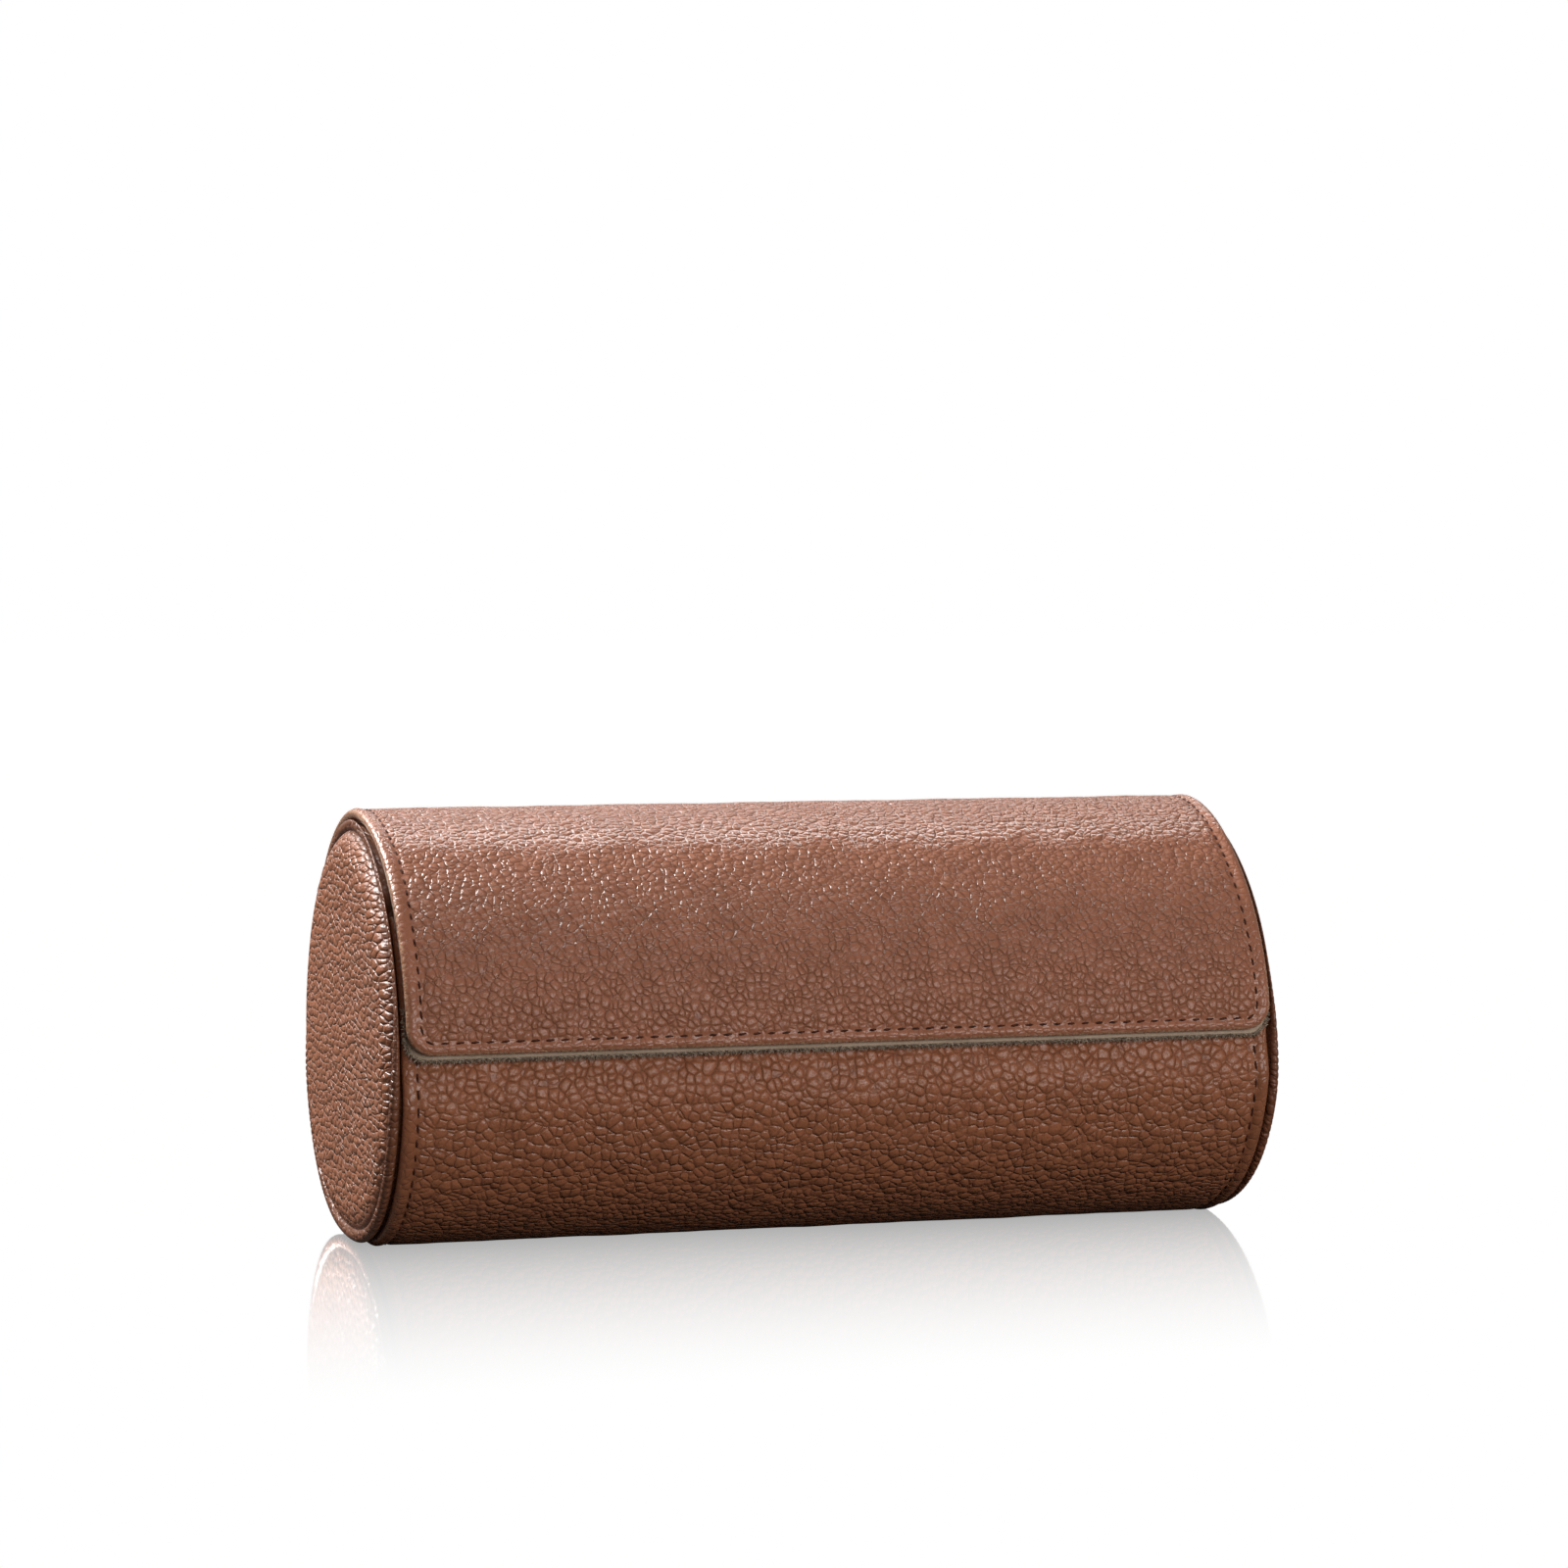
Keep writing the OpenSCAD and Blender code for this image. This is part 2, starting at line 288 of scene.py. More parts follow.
class Graph:
    """Shorthand for filling in a node tree."""

    def __init__(self, tree: bpy.types.NodeTree) -> None:
        """Takes the tree to fill."""
        self.tree = tree

    @classmethod
    def fresh(cls, owner: bpy.types.Material | bpy.types.World) -> "Graph":
        """The emptied node tree of a material or world."""
        owner.use_nodes = True
        owner.node_tree.nodes.clear()
        return cls(owner.node_tree)

    def put(self, socket: Socket, value: Value) -> None:
        """Gives an input a value, or links it to another node's output."""
        if isinstance(value, Socket):
            self.tree.links.new(value, socket)
        else:
            socket.default_value = value

    def add(self, kind: str, inputs: dict | None = None, **settings) -> bpy.types.Node:
        """Adds a node.

        Args:
            kind: The node's Blender type.
            inputs: Values and sockets for its inputs, by name or by number.
            **settings: The node's own properties.

        Returns:
            The new node.
        """
        node = self.tree.nodes.new(kind)
        for name, value in settings.items():
            setattr(node, name, value)
        for key, value in (inputs or {}).items():
            self.put(node.inputs[key], value)
        return node

    def out(self, kind: str, inputs: dict | None = None, output: str | int = 0, **settings) -> Socket:
        """Adds a node and gives one of its outputs."""
        return self.add(kind, inputs, **settings).outputs[output]

    def place(self) -> Socket:
        """Place on the piece, in metres."""
        return self.out("ShaderNodeTexCoord", output="Object")

    def maths(self, operation: str, *values: Value) -> Socket:
        """Result of a maths operation on numbers and sockets."""
        return self.out("ShaderNodeMath", dict(enumerate(values)), operation=operation)

    def product(self, *values: Value) -> Socket:
        """Product of numbers and sockets."""
        return reduce(lambda first, second: self.maths("MULTIPLY", first, second), values)

    def total(self, *values: Value) -> Socket:
        """Sum of numbers and sockets."""
        return reduce(lambda first, second: self.maths("ADD", first, second), values)

    def vector(self, operation: str, first: Value, second: Value, output: str = "Vector") -> Socket:
        """Result of a vector operation."""
        return self.out("ShaderNodeVectorMath", {0: first, 1: second}, output, operation=operation)

    def ramp(
        self, value: Socket, low: float, high: float, to_low: float = 0.0, to_high: float = 1.0
    ) -> Socket:
        """Value eased from one range to another."""
        inputs = {"Value": value, "From Min": low, "From Max": high, "To Min": to_low, "To Max": to_high}
        return self.out("ShaderNodeMapRange", inputs, "Result", interpolation_type="SMOOTHSTEP")

    def noise(
        self, place: Socket, scale: float, detail: float, output: str = "Fac", **inputs: float
    ) -> Socket:
        """Noise at a place, about 0.5."""
        inputs = {"Vector": place, "Scale": scale, "Detail": detail, **inputs}
        return self.out("ShaderNodeTexNoise", inputs, output)

    def cells(self, place: Socket, scale: float, feature: str, **inputs: float) -> Socket:
        """Distance that a feature of Voronoi cells gives at a place."""
        inputs = {"Vector": place, "Scale": scale, **inputs}
        return self.out("ShaderNodeTexVoronoi", inputs, "Distance", feature=feature)

    def blend(self, factor: Value, first: Value, second: Value, mode: str = "MIX") -> Socket:
        """Mix of two colours, given as colours or sockets."""
        node = self.add("ShaderNodeMix", data_type="RGBA", blend_type=mode)
        colours = [socket for socket in node.inputs if socket.type == "RGBA"]
        for socket, value in zip((node.inputs[0], *colours), (factor, first, second)):
            self.put(socket, value)
        return next(socket for socket in node.outputs if socket.type == "RGBA")

    def shade(self, tone: Value, share: Socket) -> Socket:
        """Colour multiplied by a share."""
        grey = self.out("ShaderNodeCombineColor", {0: share, 1: share, 2: share})
        return self.blend(1.0, tone, grey, mode="MULTIPLY")

    def surface(
        self,
        inputs: dict,
        height: Socket | None = None,
        relief: float = 0.0,
        strength: float = 1.0,
        **settings,
    ) -> Socket:
        """A principled surface.

        Args:
            inputs: Values and sockets for its inputs.
            height: What its bumps follow, or None for a smooth surface.
            relief: Depth of the bumps in millimetres.
            strength: Share of the bumps that shows.
            **settings: Properties of the bumps.

        Returns:
            The shader's output.
        """
        if height is not None:
            bumps = {"Height": height, "Strength": strength, "Distance": relief * MM}
            inputs = {**inputs, "Normal": self.out("ShaderNodeBump", bumps, "Normal", **settings)}
        return self.out("ShaderNodeBsdfPrincipled", inputs, "BSDF")

    def split(self, unseen: Socket, seen: Socket) -> Socket:
        """A shader for the camera's own rays, and another one for all the rest."""
        camera_ray = self.out("ShaderNodeLightPath", output="Is Camera Ray")
        return self.out("ShaderNodeMixShader", {0: camera_ray, 1: unseen, 2: seen})


def colour(red: int, green: int, blue: int) -> tuple[float, float, float, float]:
    """Linear colour from display values between 0 and 255."""

    def linear(value: int) -> float:
        """Linear share of light of one display value."""
        share = value / 255
        return share / 12.92 if share <= 0.04045 else ((share + 0.055) / 1.055) ** 2.4

    return (linear(red), linear(green), linear(blue), 1.0)


@dataclass(frozen=True)
class Finish:
    """A surface finish. Each kind fills in its own node tree."""

    name: str
    slot: str

    def material(self) -> bpy.types.Material:
        """The finish's material, made the first time it is asked for."""
        made = bpy.data.materials.get(self.name)
        if made is None:
            made = bpy.data.materials.new(self.name)
            graph = Graph.fresh(made)
            graph.add("ShaderNodeOutputMaterial", {"Surface": self.shader(graph)})
        return made

    def shader(self, graph: Graph) -> Socket:
        """Fills the tree and gives the surface shader's output."""
        raise NotImplementedError


@dataclass(frozen=True)
class PebbledLeather(Finish):
    """Full-grain leather with a pressed pebble grain, read from the piece's own grain map in millimetres.

    Attributes:
        base: Colour of the cells.
        crease: Colour between the cells, a painted shade that darkens the grooves.
        edge_highlight_colour: Pale colour of a painted highlight on the edges.
        cell: Size of the cells.
        warps: Size and pull of each noise that bends the cells, as shares of a cell.
        relief: Depth of the grain.
        dome: How far the cells are domed, as a share of the relief. The next three are shares of it too.
        beads: Height of the small beads on the cells.
        groove: Depth of the grooves between the cells.
        pores: Height of the pores.
        shoulder: Share of a cell over which it falls to its groove.
        crease_width: Share of a cell that its crease takes up.
        smoothing: How much of the grain an edge has lost.
        edge_shade: Brightness of the edges, a painted shade that darkens the rolled edges and the rim.
        edge_highlight_share: How strongly the painted highlight shows on the edges.
        roughness: Roughness of the cells.
        specular: Strength of the reflections.
    """

    base: tuple = colour(160, 100, 70)
    crease: tuple = colour(138, 84, 60)
    edge_highlight_colour: tuple = colour(205, 170, 140)
    cell: float = 1.8
    warps: tuple = ((3.2, 0.8), (1.0, 0.24))
    relief: float = 0.32
    dome: float = 1.7
    beads: float = 0.35
    groove: float = 0.75
    pores: float = 0.35
    shoulder: float = 0.22
    crease_width: float = 0.07
    smoothing: float = 0.75
    edge_shade: float = 1.0
    edge_highlight_share: float = 0.0
    roughness: float = 0.27
    specular: float = 0.45

    def _warped(self, graph: Graph, grain: Socket) -> Socket:
        """Place in the grain, bent so that no two cells are alike."""
        place = grain
        for size, pull in self.warps:
            noise = graph.noise(grain, 1 / (size * self.cell), 1.0, "Color")
            shift = graph.vector("SUBTRACT", noise, (0.5, 0.5, 0.5))
            place = graph.vector("ADD", place, graph.vector("MULTIPLY", shift, (self.cell * pull,) * 3))
        return place

    def _height(self, graph: Graph, grain: Socket, place: Socket, rim: Socket, cut: Socket) -> Socket:
        """Height of the grain, from the distance to a cell's rim and how deep the grooves are cut there."""
        reach = graph.cells(place, 1 / self.cell, "SMOOTH_F1", Randomness=0.85, Smoothness=0.3)
        bead = graph.cells(place, 2.3 / self.cell, "F1", Randomness=0.9)
        fallen = graph.maths("MINIMUM", graph.maths("DIVIDE", rim, self.shoulder), 1.0)
        low = graph.maths("SUBTRACT", 1.0, fallen)
        pores = graph.noise(grain, 2.2, 3.0, Roughness=0.6)
        return graph.total(
            graph.product(reach, reach, -self.dome),
            graph.product(bead, bead, -self.beads),
            graph.product(low, low, cut, -self.groove),
            graph.product(pores, self.pores),
        )

    def shader(self, graph: Graph) -> Socket:
        """Fills the tree and gives the surface shader's output."""
        grain = graph.out("ShaderNodeAttribute", output="Vector", attribute_name="grain")
        edge = graph.out("ShaderNodeAttribute", output="Fac", attribute_name="edge")
        place = self._warped(graph, grain)
        rim = graph.cells(place, 1 / self.cell, "DISTANCE_TO_EDGE", Randomness=0.85)
        cut = graph.ramp(graph.noise(grain, 0.45 / self.cell, 1.0), 0.35, 0.62, 0.55, 1.0)
        kept = graph.maths("SUBTRACT", 1.0, graph.product(edge, self.smoothing))
        height = graph.product(self._height(graph, grain, place, rim, cut), kept)
        creased = graph.maths("SUBTRACT", 1.0, graph.ramp(rim, 0.0, self.crease_width))
        depth = graph.product(creased, cut, kept)
        # Painted shade: the colour darkens in the grooves between the cells.
        tone = graph.blend(depth, self.base, self.crease)
        # Painted highlight: pale patches on the rolled edges, where light would catch them.
        highlight_noise = graph.noise(grain, 1.3, 3.0, Roughness=0.7)
        bare = graph.product(graph.ramp(edge, 0.8, 1.0), graph.ramp(highlight_noise, 0.42, 0.6, 0.0, self.edge_highlight_share))
        mottle_and_edge_shade = graph.ramp(graph.noise(grain, 0.1, 2.0), 0.3, 0.7, 0.94, 1.05)
        # Painted shade: the rolled edges and the cap's rim are darkened.
        mottle_and_edge_shade = graph.product(mottle_and_edge_shade, graph.ramp(edge, 0.1, 0.7, 1.0, self.edge_shade))
        inputs = {
            "Base Color": graph.shade(graph.blend(bare, tone, self.edge_highlight_colour), mottle_and_edge_shade),
            "Roughness": graph.total(self.roughness, graph.product(depth, 0.1)),
            "Specular IOR Level": self.specular,
        }
        return graph.surface(inputs, height, self.relief)


@dataclass(frozen=True)
class Suede(Finish):
    """Microsuede with a short nap."""

    base: tuple = colour(200, 184, 164)
    shade: tuple = colour(166, 149, 129)
    nap: float = 0.12
    nap_share: float = 0.8
    mottle: float = 0.28

    def shader(self, graph: Graph) -> Socket:
        """Fills the tree and gives the surface shader's output."""
        place = graph.place()
        fibres = graph.noise(place, 2600.0, 3.0, Roughness=0.7)
        strokes = graph.noise(place, 60.0, 4.0, Distortion=0.6)
        stroke = graph.ramp(strokes, 0.35, 0.68, 0.5 - self.mottle, 0.5 + self.mottle)
        tone = graph.blend(stroke, self.shade, self.base)
        inputs = {
            "Base Color": graph.shade(tone, graph.ramp(fibres, 0.3, 0.7, 0.86, 1.1)),
            "Roughness": 0.92,
            "Specular IOR Level": 0.2,
            "Sheen Weight": 0.35,
            "Sheen Roughness": 0.45,
            "Sheen Tint": self.base,
        }
        height = graph.total(fibres, graph.product(stroke, 0.5))
        return graph.surface(inputs, height, self.nap, self.nap_share)


@dataclass(frozen=True)
class Thread(Finish):
    """Bonded sewing thread with a two-ply twist."""

    base: tuple = colour(84, 44, 29)
    ply: tuple = colour(52, 25, 16)
    relief: float = 0.05

    def shader(self, graph: Graph) -> Socket:
        """Fills the tree and gives the surface shader's output."""
        inputs = {"Vector": graph.place(), "Scale": 420.0, "Distortion": 1.5}
        twist = graph.out("ShaderNodeTexWave", inputs, "Fac", bands_direction="DIAGONAL")
        tone = graph.blend(twist, self.ply, self.base)
        inputs = {"Base Color": tone, "Roughness": 0.6, "Specular IOR Level": 0.15}
        return graph.surface(inputs, twist, self.relief)


@dataclass(frozen=True)
class GreyBoard(Finish):
    """Raw pressed board with paper fibres."""

    base: tuple = colour(150, 142, 130)
    fibre: tuple = colour(122, 114, 102)
    relief: float = 0.06

    def shader(self, graph: Graph) -> Socket:
        """Fills the tree and gives the surface shader's output."""
        noise = graph.noise(graph.place(), 900.0, 5.0, Roughness=0.7)
        tone = graph.blend(graph.ramp(noise, 0.35, 0.65), self.fibre, self.base)
        return graph.surface({"Base Color": tone, "Roughness": 0.88}, noise, self.relief)


@dataclass(frozen=True)
class OpenCellFoam(Finish):
    """Cream foam with open cells."""

    base: tuple = colour(226, 220, 200)
    pore: tuple = colour(176, 168, 144)
    relief: float = 0.2

    def shader(self, graph: Graph) -> Socket:
        """Fills the tree and gives the surface shader's output."""
        walls = graph.cells(graph.place(), 1400.0, "DISTANCE_TO_EDGE")
        tone = graph.blend(graph.ramp(walls, 0.0, 0.3), self.base, self.pore)
        return graph.surface({"Base Color": tone, "Roughness": 0.95}, walls, self.relief, invert=True)


@dataclass(frozen=True)
class NickelPlate(Finish):
    """Satin nickel plating with fine scratches."""

    base: tuple = colour(196, 194, 188)

    def shader(self, graph: Graph) -> Socket:
        """Fills the tree and gives the surface shader's output."""
        rough = graph.ramp(graph.noise(graph.place(), 1500.0, 4.0), 0.3, 0.7, 0.22, 0.38)
        return graph.surface({"Base Color": self.base, "Metallic": 1.0, "Roughness": rough})


# Painted shade darkens the tube's edges and, more strongly, the caps' rims.
CASE_LEATHER = PebbledLeather("case_leather_grain", "case_leather", cell=2.2, relief=0.34, edge_shade=0.85)
# The flap's edges carry a pale painted highlight.
FLAP_LEATHER = PebbledLeather("flap_leather_grain", "flap_leather", base=colour(161, 103, 77), edge_highlight_share=0.8)
CAP_LEATHER = PebbledLeather(
    "cap_leather_grain", "cap_leather", cell=1.65, relief=0.39, roughness=0.36, edge_shade=0.55
)
LINING_SUEDE = Suede("lining_suede", "lining", base=colour(190, 168, 147), shade=colour(154, 133, 114))
SUEDE_FUZZ = Thread("suede_fuzz", "lining", base=colour(196, 178, 158), ply=colour(140, 122, 104))
PILLOW_SUEDE = Suede("pillow_nap", "pillow_suede", base=colour(200, 187, 165), shade=colour(166, 151, 129))
CASE_THREAD = Thread("case_thread", "case_leather")
FLAP_THREAD = Thread("flap_thread", "flap_leather")
BOARD = GreyBoard("grey_board", "board")
FOAM = OpenCellFoam("open_cell_foam", "foam")
NICKEL = NickelPlate("nickel_plate", "magnet")


# Meshes


def make_piece(
    name: str,
    points: Array,
    quads: Array,
    finish: Finish,
    grain: Array | None = None,
    edge: Array | None = None,
) -> bpy.types.Object:
    """Makes a mesh piece from those points that its faces use.

    Args:
        name: The piece's name.
        points: Vertices in millimetres.
        quads: Vertex numbers of each face. A triangle repeats a corner.
        finish: What it is covered with.
        grain: Place of each vertex in the leather's grain, in millimetres.
        edge: How far each vertex belongs to a rolled edge, from 0 to 1.

    Returns:
        The piece, at the origin.
    """
    faces = tidy_faces(quads)
    used = np.unique(np.concatenate(faces))
    renumber = np.full(len(points), -1)
    renumber[used] = np.arange(len(used))
    mesh = bpy.data.meshes.new(name)
    mesh.from_pydata((points[used] * MM).tolist(), [], [renumber[face].tolist() for face in faces])
    mesh.shade_smooth()
    maps = (("grain", "FLOAT_VECTOR", "vector", grain), ("edge", "FLOAT", "value", edge))
    for key, kind, field, values in maps:
        if values is not None:
            layer = mesh.attributes.new(key, kind, "POINT")
            layer.data.foreach_set(field, np.ascontiguousarray(values[used], np.float32).ravel())
    mesh.materials.append(finish.material())
    piece = link_piece(name, mesh)
    if signed_volume(mesh) <= 0:
        raise ValueError(f"{name} is inside out")
    return piece


def link_piece(name: str, mesh: bpy.types.Mesh) -> bpy.types.Object:
    """Makes an object of a mesh and gives it its finish's slot."""
    piece = bpy.data.objects.new(name, mesh)
    bpy.context.scene.collection.objects.link(piece)
    LOG.info("%s: %d vertices, %d faces", name, len(mesh.vertices), len(mesh.polygons))
    return piece


def signed_volume(mesh: bpy.types.Mesh) -> float:
    """Volume that a closed mesh encloses, above 0 if its faces point outwards."""
    mesh.calc_loop_triangles()
    corners = np.zeros(len(mesh.loop_triangles) * 3, np.int32)
    mesh.loop_triangles.foreach_get("vertices", corners)
    points = np.zeros(len(mesh.vertices) * 3)
    mesh.vertices.foreach_get("co", points)
    a, b, c = points.reshape(-1, 3)[corners.reshape(-1, 3)].transpose(1, 0, 2)
    return float(np.einsum("ij,ij->i", a, np.cross(b, c)).sum() / 6)


def tidy_faces(quads: Array) -> list[list[int]]:
    """Faces with repeated corners dropped, and those left with fewer than three corners left out."""
    faces = ([v for i, v in enumerate(quad) if v != quad[i - 1]] for quad in quads.tolist())
    return [face for face in faces if len(face) > 2]


def grid_quads(index: Array, flip: bool = False) -> Array:
    """Quads between the rows of a grid of vertex numbers."""
    quads = np.stack([index[:-1, :-1], index[:-1, 1:], index[1:, 1:], index[1:, :-1]], -1).reshape(-1, 4)
    return quads[:, ::-1] if flip else quads


def unevenness(x: Array, reach: Array) -> Array:
    """Slow hand-made unevenness of the leather over its board, in millimetres."""
    return sum(
        size * np.sin(2 * math.pi * (u * x + v * reach) / UNEVEN_SCALE + phase)
        for u, v, phase, size in UNEVEN_WAVES
    )


@dataclass
class Sheet:
    """A sheet that lies on the oval wall, with rolled or cut edges and an outer and an inner face.

    Attributes:
        section: The oval.
        half_len: Half of its length along the roll, at its start and at its end.
        flared: Whether its side edges follow the section's flare.
        start: Distance round the oval at which it starts.
        end: Distance round the oval at which it ends.
        outer: Its outer face, as a distance outside the oval at an angle.
        inner: Its inner face.
        open_start: Whether it runs on into another sheet at its start.
        open_end: Whether it runs on into another sheet at its end.
        corner: Radius of its two corners at its end.
        roll: Width over which an edge rounds off.
        tip: Share of the thickness that lies outside the edge's tip.
        seam: Distance of the stitch line from a side edge, or 0 for none.
        lip_seam: Distance of the stitch line from its end.
        groove: How deep the stitches pull the leather in.
        groove_half: Half of the width of that pull.
        swell: How far the leather between the stitches and an edge swells.
        step: Spacing of its points away from the edges.
        uneven: Share of the leather's unevenness.
        smoothed: How far the leather outside the stitches has lost its grain.
    """

    section: Section
    half_len: tuple[float, float]
    start: float
    end: float
    outer: Offset
    inner: Offset
    open_start: bool = False
    open_end: bool = False
    flared: bool = False
    corner: float = 0.0
    roll: float = 1.3
    tip: float = 0.4
    seam: float = 0.0
    lip_seam: float = 0.0
    groove: float = 0.34
    groove_half: float = 0.75
    swell: float = 0.16
    step: float = 1.5
    uneven: float = 1.0
    smoothed: float = 0.75

    def _border(self) -> Array:
        """Distances from an edge at which points lie close together."""
        rounded = self.roll * (1 - np.cos(np.linspace(0, math.pi / 2, ROUND_POINTS)))
        if not self.seam:
            return np.append(rounded, self.roll * 1.5)
        close = np.arange(self.roll + BORDER_STEP, self.seam + SEAM_MARGIN, BORDER_STEP)
        return np.concatenate([rounded, close])

    def _across(self) -> Array:
        """Shares of the half length at which points lie, from -1 to 1."""
        half = self.half_len[0]
        border = self._border()
        inner = half - border[-1]
        middle = np.linspace(-inner, inner, int(2 * inner / self.step) + 1)
        return np.concatenate([-half + border[:-1], middle, half - border[:-1][::-1]]) / half

    def _along(self) -> Array:
        """Distances round the oval at which points lie."""
        border = self._border()
        first = np.array([0.0]) if self.open_start else border
        last = np.array([0.0]) if self.open_end else border
        length = self.end - self.start - first[-1] - last[-1]
        middle = np.linspace(self.start + first[-1], self.end - last[-1], max(int(length / self.step), 2) + 1)
        return np.concatenate([self.start + first[:-1], middle, self.end - last[:-1][::-1]])

    def _rounded(self, x: Array, reach: Array, half: Array) -> tuple[Array, Array]:
        """Moves the points of the two end corners inwards, so that the corners are round."""
        if not self.corner:
            return x, reach
        u = (np.abs(x) - (half - self.corner)) / self.corner
        v = (reach - (self.end - self.corner)) / self.corner
        inside = (u > 0) & (v > 0)
        u2 = np.where(inside, u * np.sqrt(np.maximum(1 - v * v / 2, 0)), u)
        v2 = np.where(inside, v * np.sqrt(np.maximum(1 - u * u / 2, 0)), v)
        return np.sign(x) * (half - self.corner + self.corner * u2), self.end - self.corner + self.corner * v2

    def _edge_distance(self, x: Array, reach: Array, half: Array) -> Array:
        """Distance to the nearest edge that doesn't run on into another sheet."""
        side = half - np.abs(x)
        distance = side
        if not self.open_start:
            distance = np.minimum(distance, reach - self.start)
        if not self.open_end:
            ahead = self.end - reach
            distance = np.minimum(distance, ahead)
            if self.corner:
                u, v = self.corner - side, self.corner - ahead
                distance = np.where((u > 0) & (v > 0), self.corner - np.hypot(u, v), distance)
        return np.maximum(distance, 0.0)

    def build(self, name: str, finish: Finish) -> bpy.types.Object:
        """Builds the sheet as one closed piece."""
        across, along = self._across(), self._along()
        share, reach = np.meshgrid(across, along, indexing="ij")
        taper = (reach - self.start) / (self.end - self.start)
        half = self.half_len[0] + (self.half_len[1] - self.half_len[0]) * taper
        if self.flared:
            half = half + self.section.side_flare(self.section.angle_at(reach))
        x, reach = self._rounded(share * half, reach, half)
        distance = self._edge_distance(x, reach, half)
        angle = self.section.angle_at(reach)
        rolled = 1 - np.sqrt(np.maximum(1 - np.clip(1 - distance / self.roll, 0, 1) ** 2, 0))
        top, bottom = self.outer(angle), self.inner(angle)
        thickness = top - bottom
        relief = unevenness(x, reach) * self.uneven * np.clip(distance / UNEVEN_FADE, 0, 1)
        edge = np.full_like(distance, self.smoothed)
        if self.seam:
            past = self._past_seam(x, reach, half)
            relief = relief - self.groove * np.exp(-((past / self.groove_half) ** 2))
            inside = np.clip(distance / (self.lip_seam or self.seam), 0, 1)
            relief = relief + self.swell * np.sin(math.pi * inside) ** 2
            edge = self.smoothed * np.where(past > 0, 1.0, ease(1 - np.abs(past) / SEAM_FADE))
        edge = edge + (1 - edge) * ease((TIP_WIDTH - distance) / TIP_FADE)
        outer = self._points(x, angle, top - rolled * thickness * self.tip + relief)
        inner = self._points(x, angle, bottom + rolled * thickness * (1 - self.tip))
        count = share.size
        index = np.arange(count).reshape(share.shape)
        under = index + count
        for border, is_open in (
            ((slice(0, 1), slice(None)), False),
            ((slice(-1, None), slice(None)), False),
            ((slice(None), slice(0, 1)), self.open_start),
            ((slice(None), slice(-1, None)), self.open_end),
        ):
            if not is_open:
                under[border] = index[border]
        quads = [grid_quads(index), grid_quads(under, flip=True)]
        if self.open_start:
            quads.append(grid_quads(np.stack([index[:, 0], under[:, 0]]).T, flip=True))
        if self.open_end:
            quads.append(grid_quads(np.stack([index[:, -1], under[:, -1]]).T))
        grain = np.stack([x, reach, np.zeros_like(x)], -1).reshape(-1, 3)
        points = np.concatenate([outer.reshape(-1, 3), inner.reshape(-1, 3)])
        grain = np.concatenate([grain, grain + [0, 0, INNER_GRAIN]])
        edge = np.concatenate([edge.ravel(), np.ones(count)])
        piece = make_piece(name, points, np.concatenate(quads), finish, grain, edge)
        piece.data.set_sharp_from_angle(angle=SHARP_ANGLE)
        return piece

    def _points(self, x: Array, angle: Array, offset: Array) -> Array:
        """Points in space at places on the wall."""
        return np.concatenate([x[..., None], self.section.at(angle, offset)], -1)

    def _past_seam(self, x: Array, reach: Array, half: Array) -> Array:
        """Signed distance to the stitch line, above 0 between it and the edge."""
        u = np.abs(x) - (half - self.seam)
        if not self.lip_seam:
            return u
        v = reach - (self.end - self.lip_seam)
        radius = max(self.corner - self.seam, 0.5)
        outside = np.hypot(np.maximum(u + radius, 0), np.maximum(v + radius, 0)) - radius
        return np.where((u + radius > 0) & (v + radius > 0), outside, np.maximum(u, v))

    def seam_height(self, angle: Array) -> Array:
        """Face of the leather in its stitch groove."""
        return self.outer(angle) - self.groove


def ring_loft(rings: Array) -> tuple[Array, Array]:
    """Closed surface over rings of points, with a pole at each end.

    Args:
        rings: An array of rings, of points, of X, Y and Z. The first and last ring close over their middle.

    Returns:
        The points, with the two poles last, and the quads, with the poles' triangles repeating a corner.
    """
    count, around = rings.shape[:2]
    index = np.arange(count * around).reshape(count, around)
    index = np.concatenate([index, index[:, :1]], axis=1)
    quads = grid_quads(index)
    first, last = count * around, count * around + 1
    start = np.stack([np.full(around, first), np.full(around, first), index[0, 1:], index[0, :-1]], -1)
    end = np.stack([np.full(around, last), np.full(around, last), index[-1, :-1], index[-1, 1:]], -1)
    points = np.concatenate([rings.reshape(-1, 3), [rings[0].mean(0)], [rings[-1].mean(0)]])
    return points, np.concatenate([quads, start, end])


# Stitches and fibres


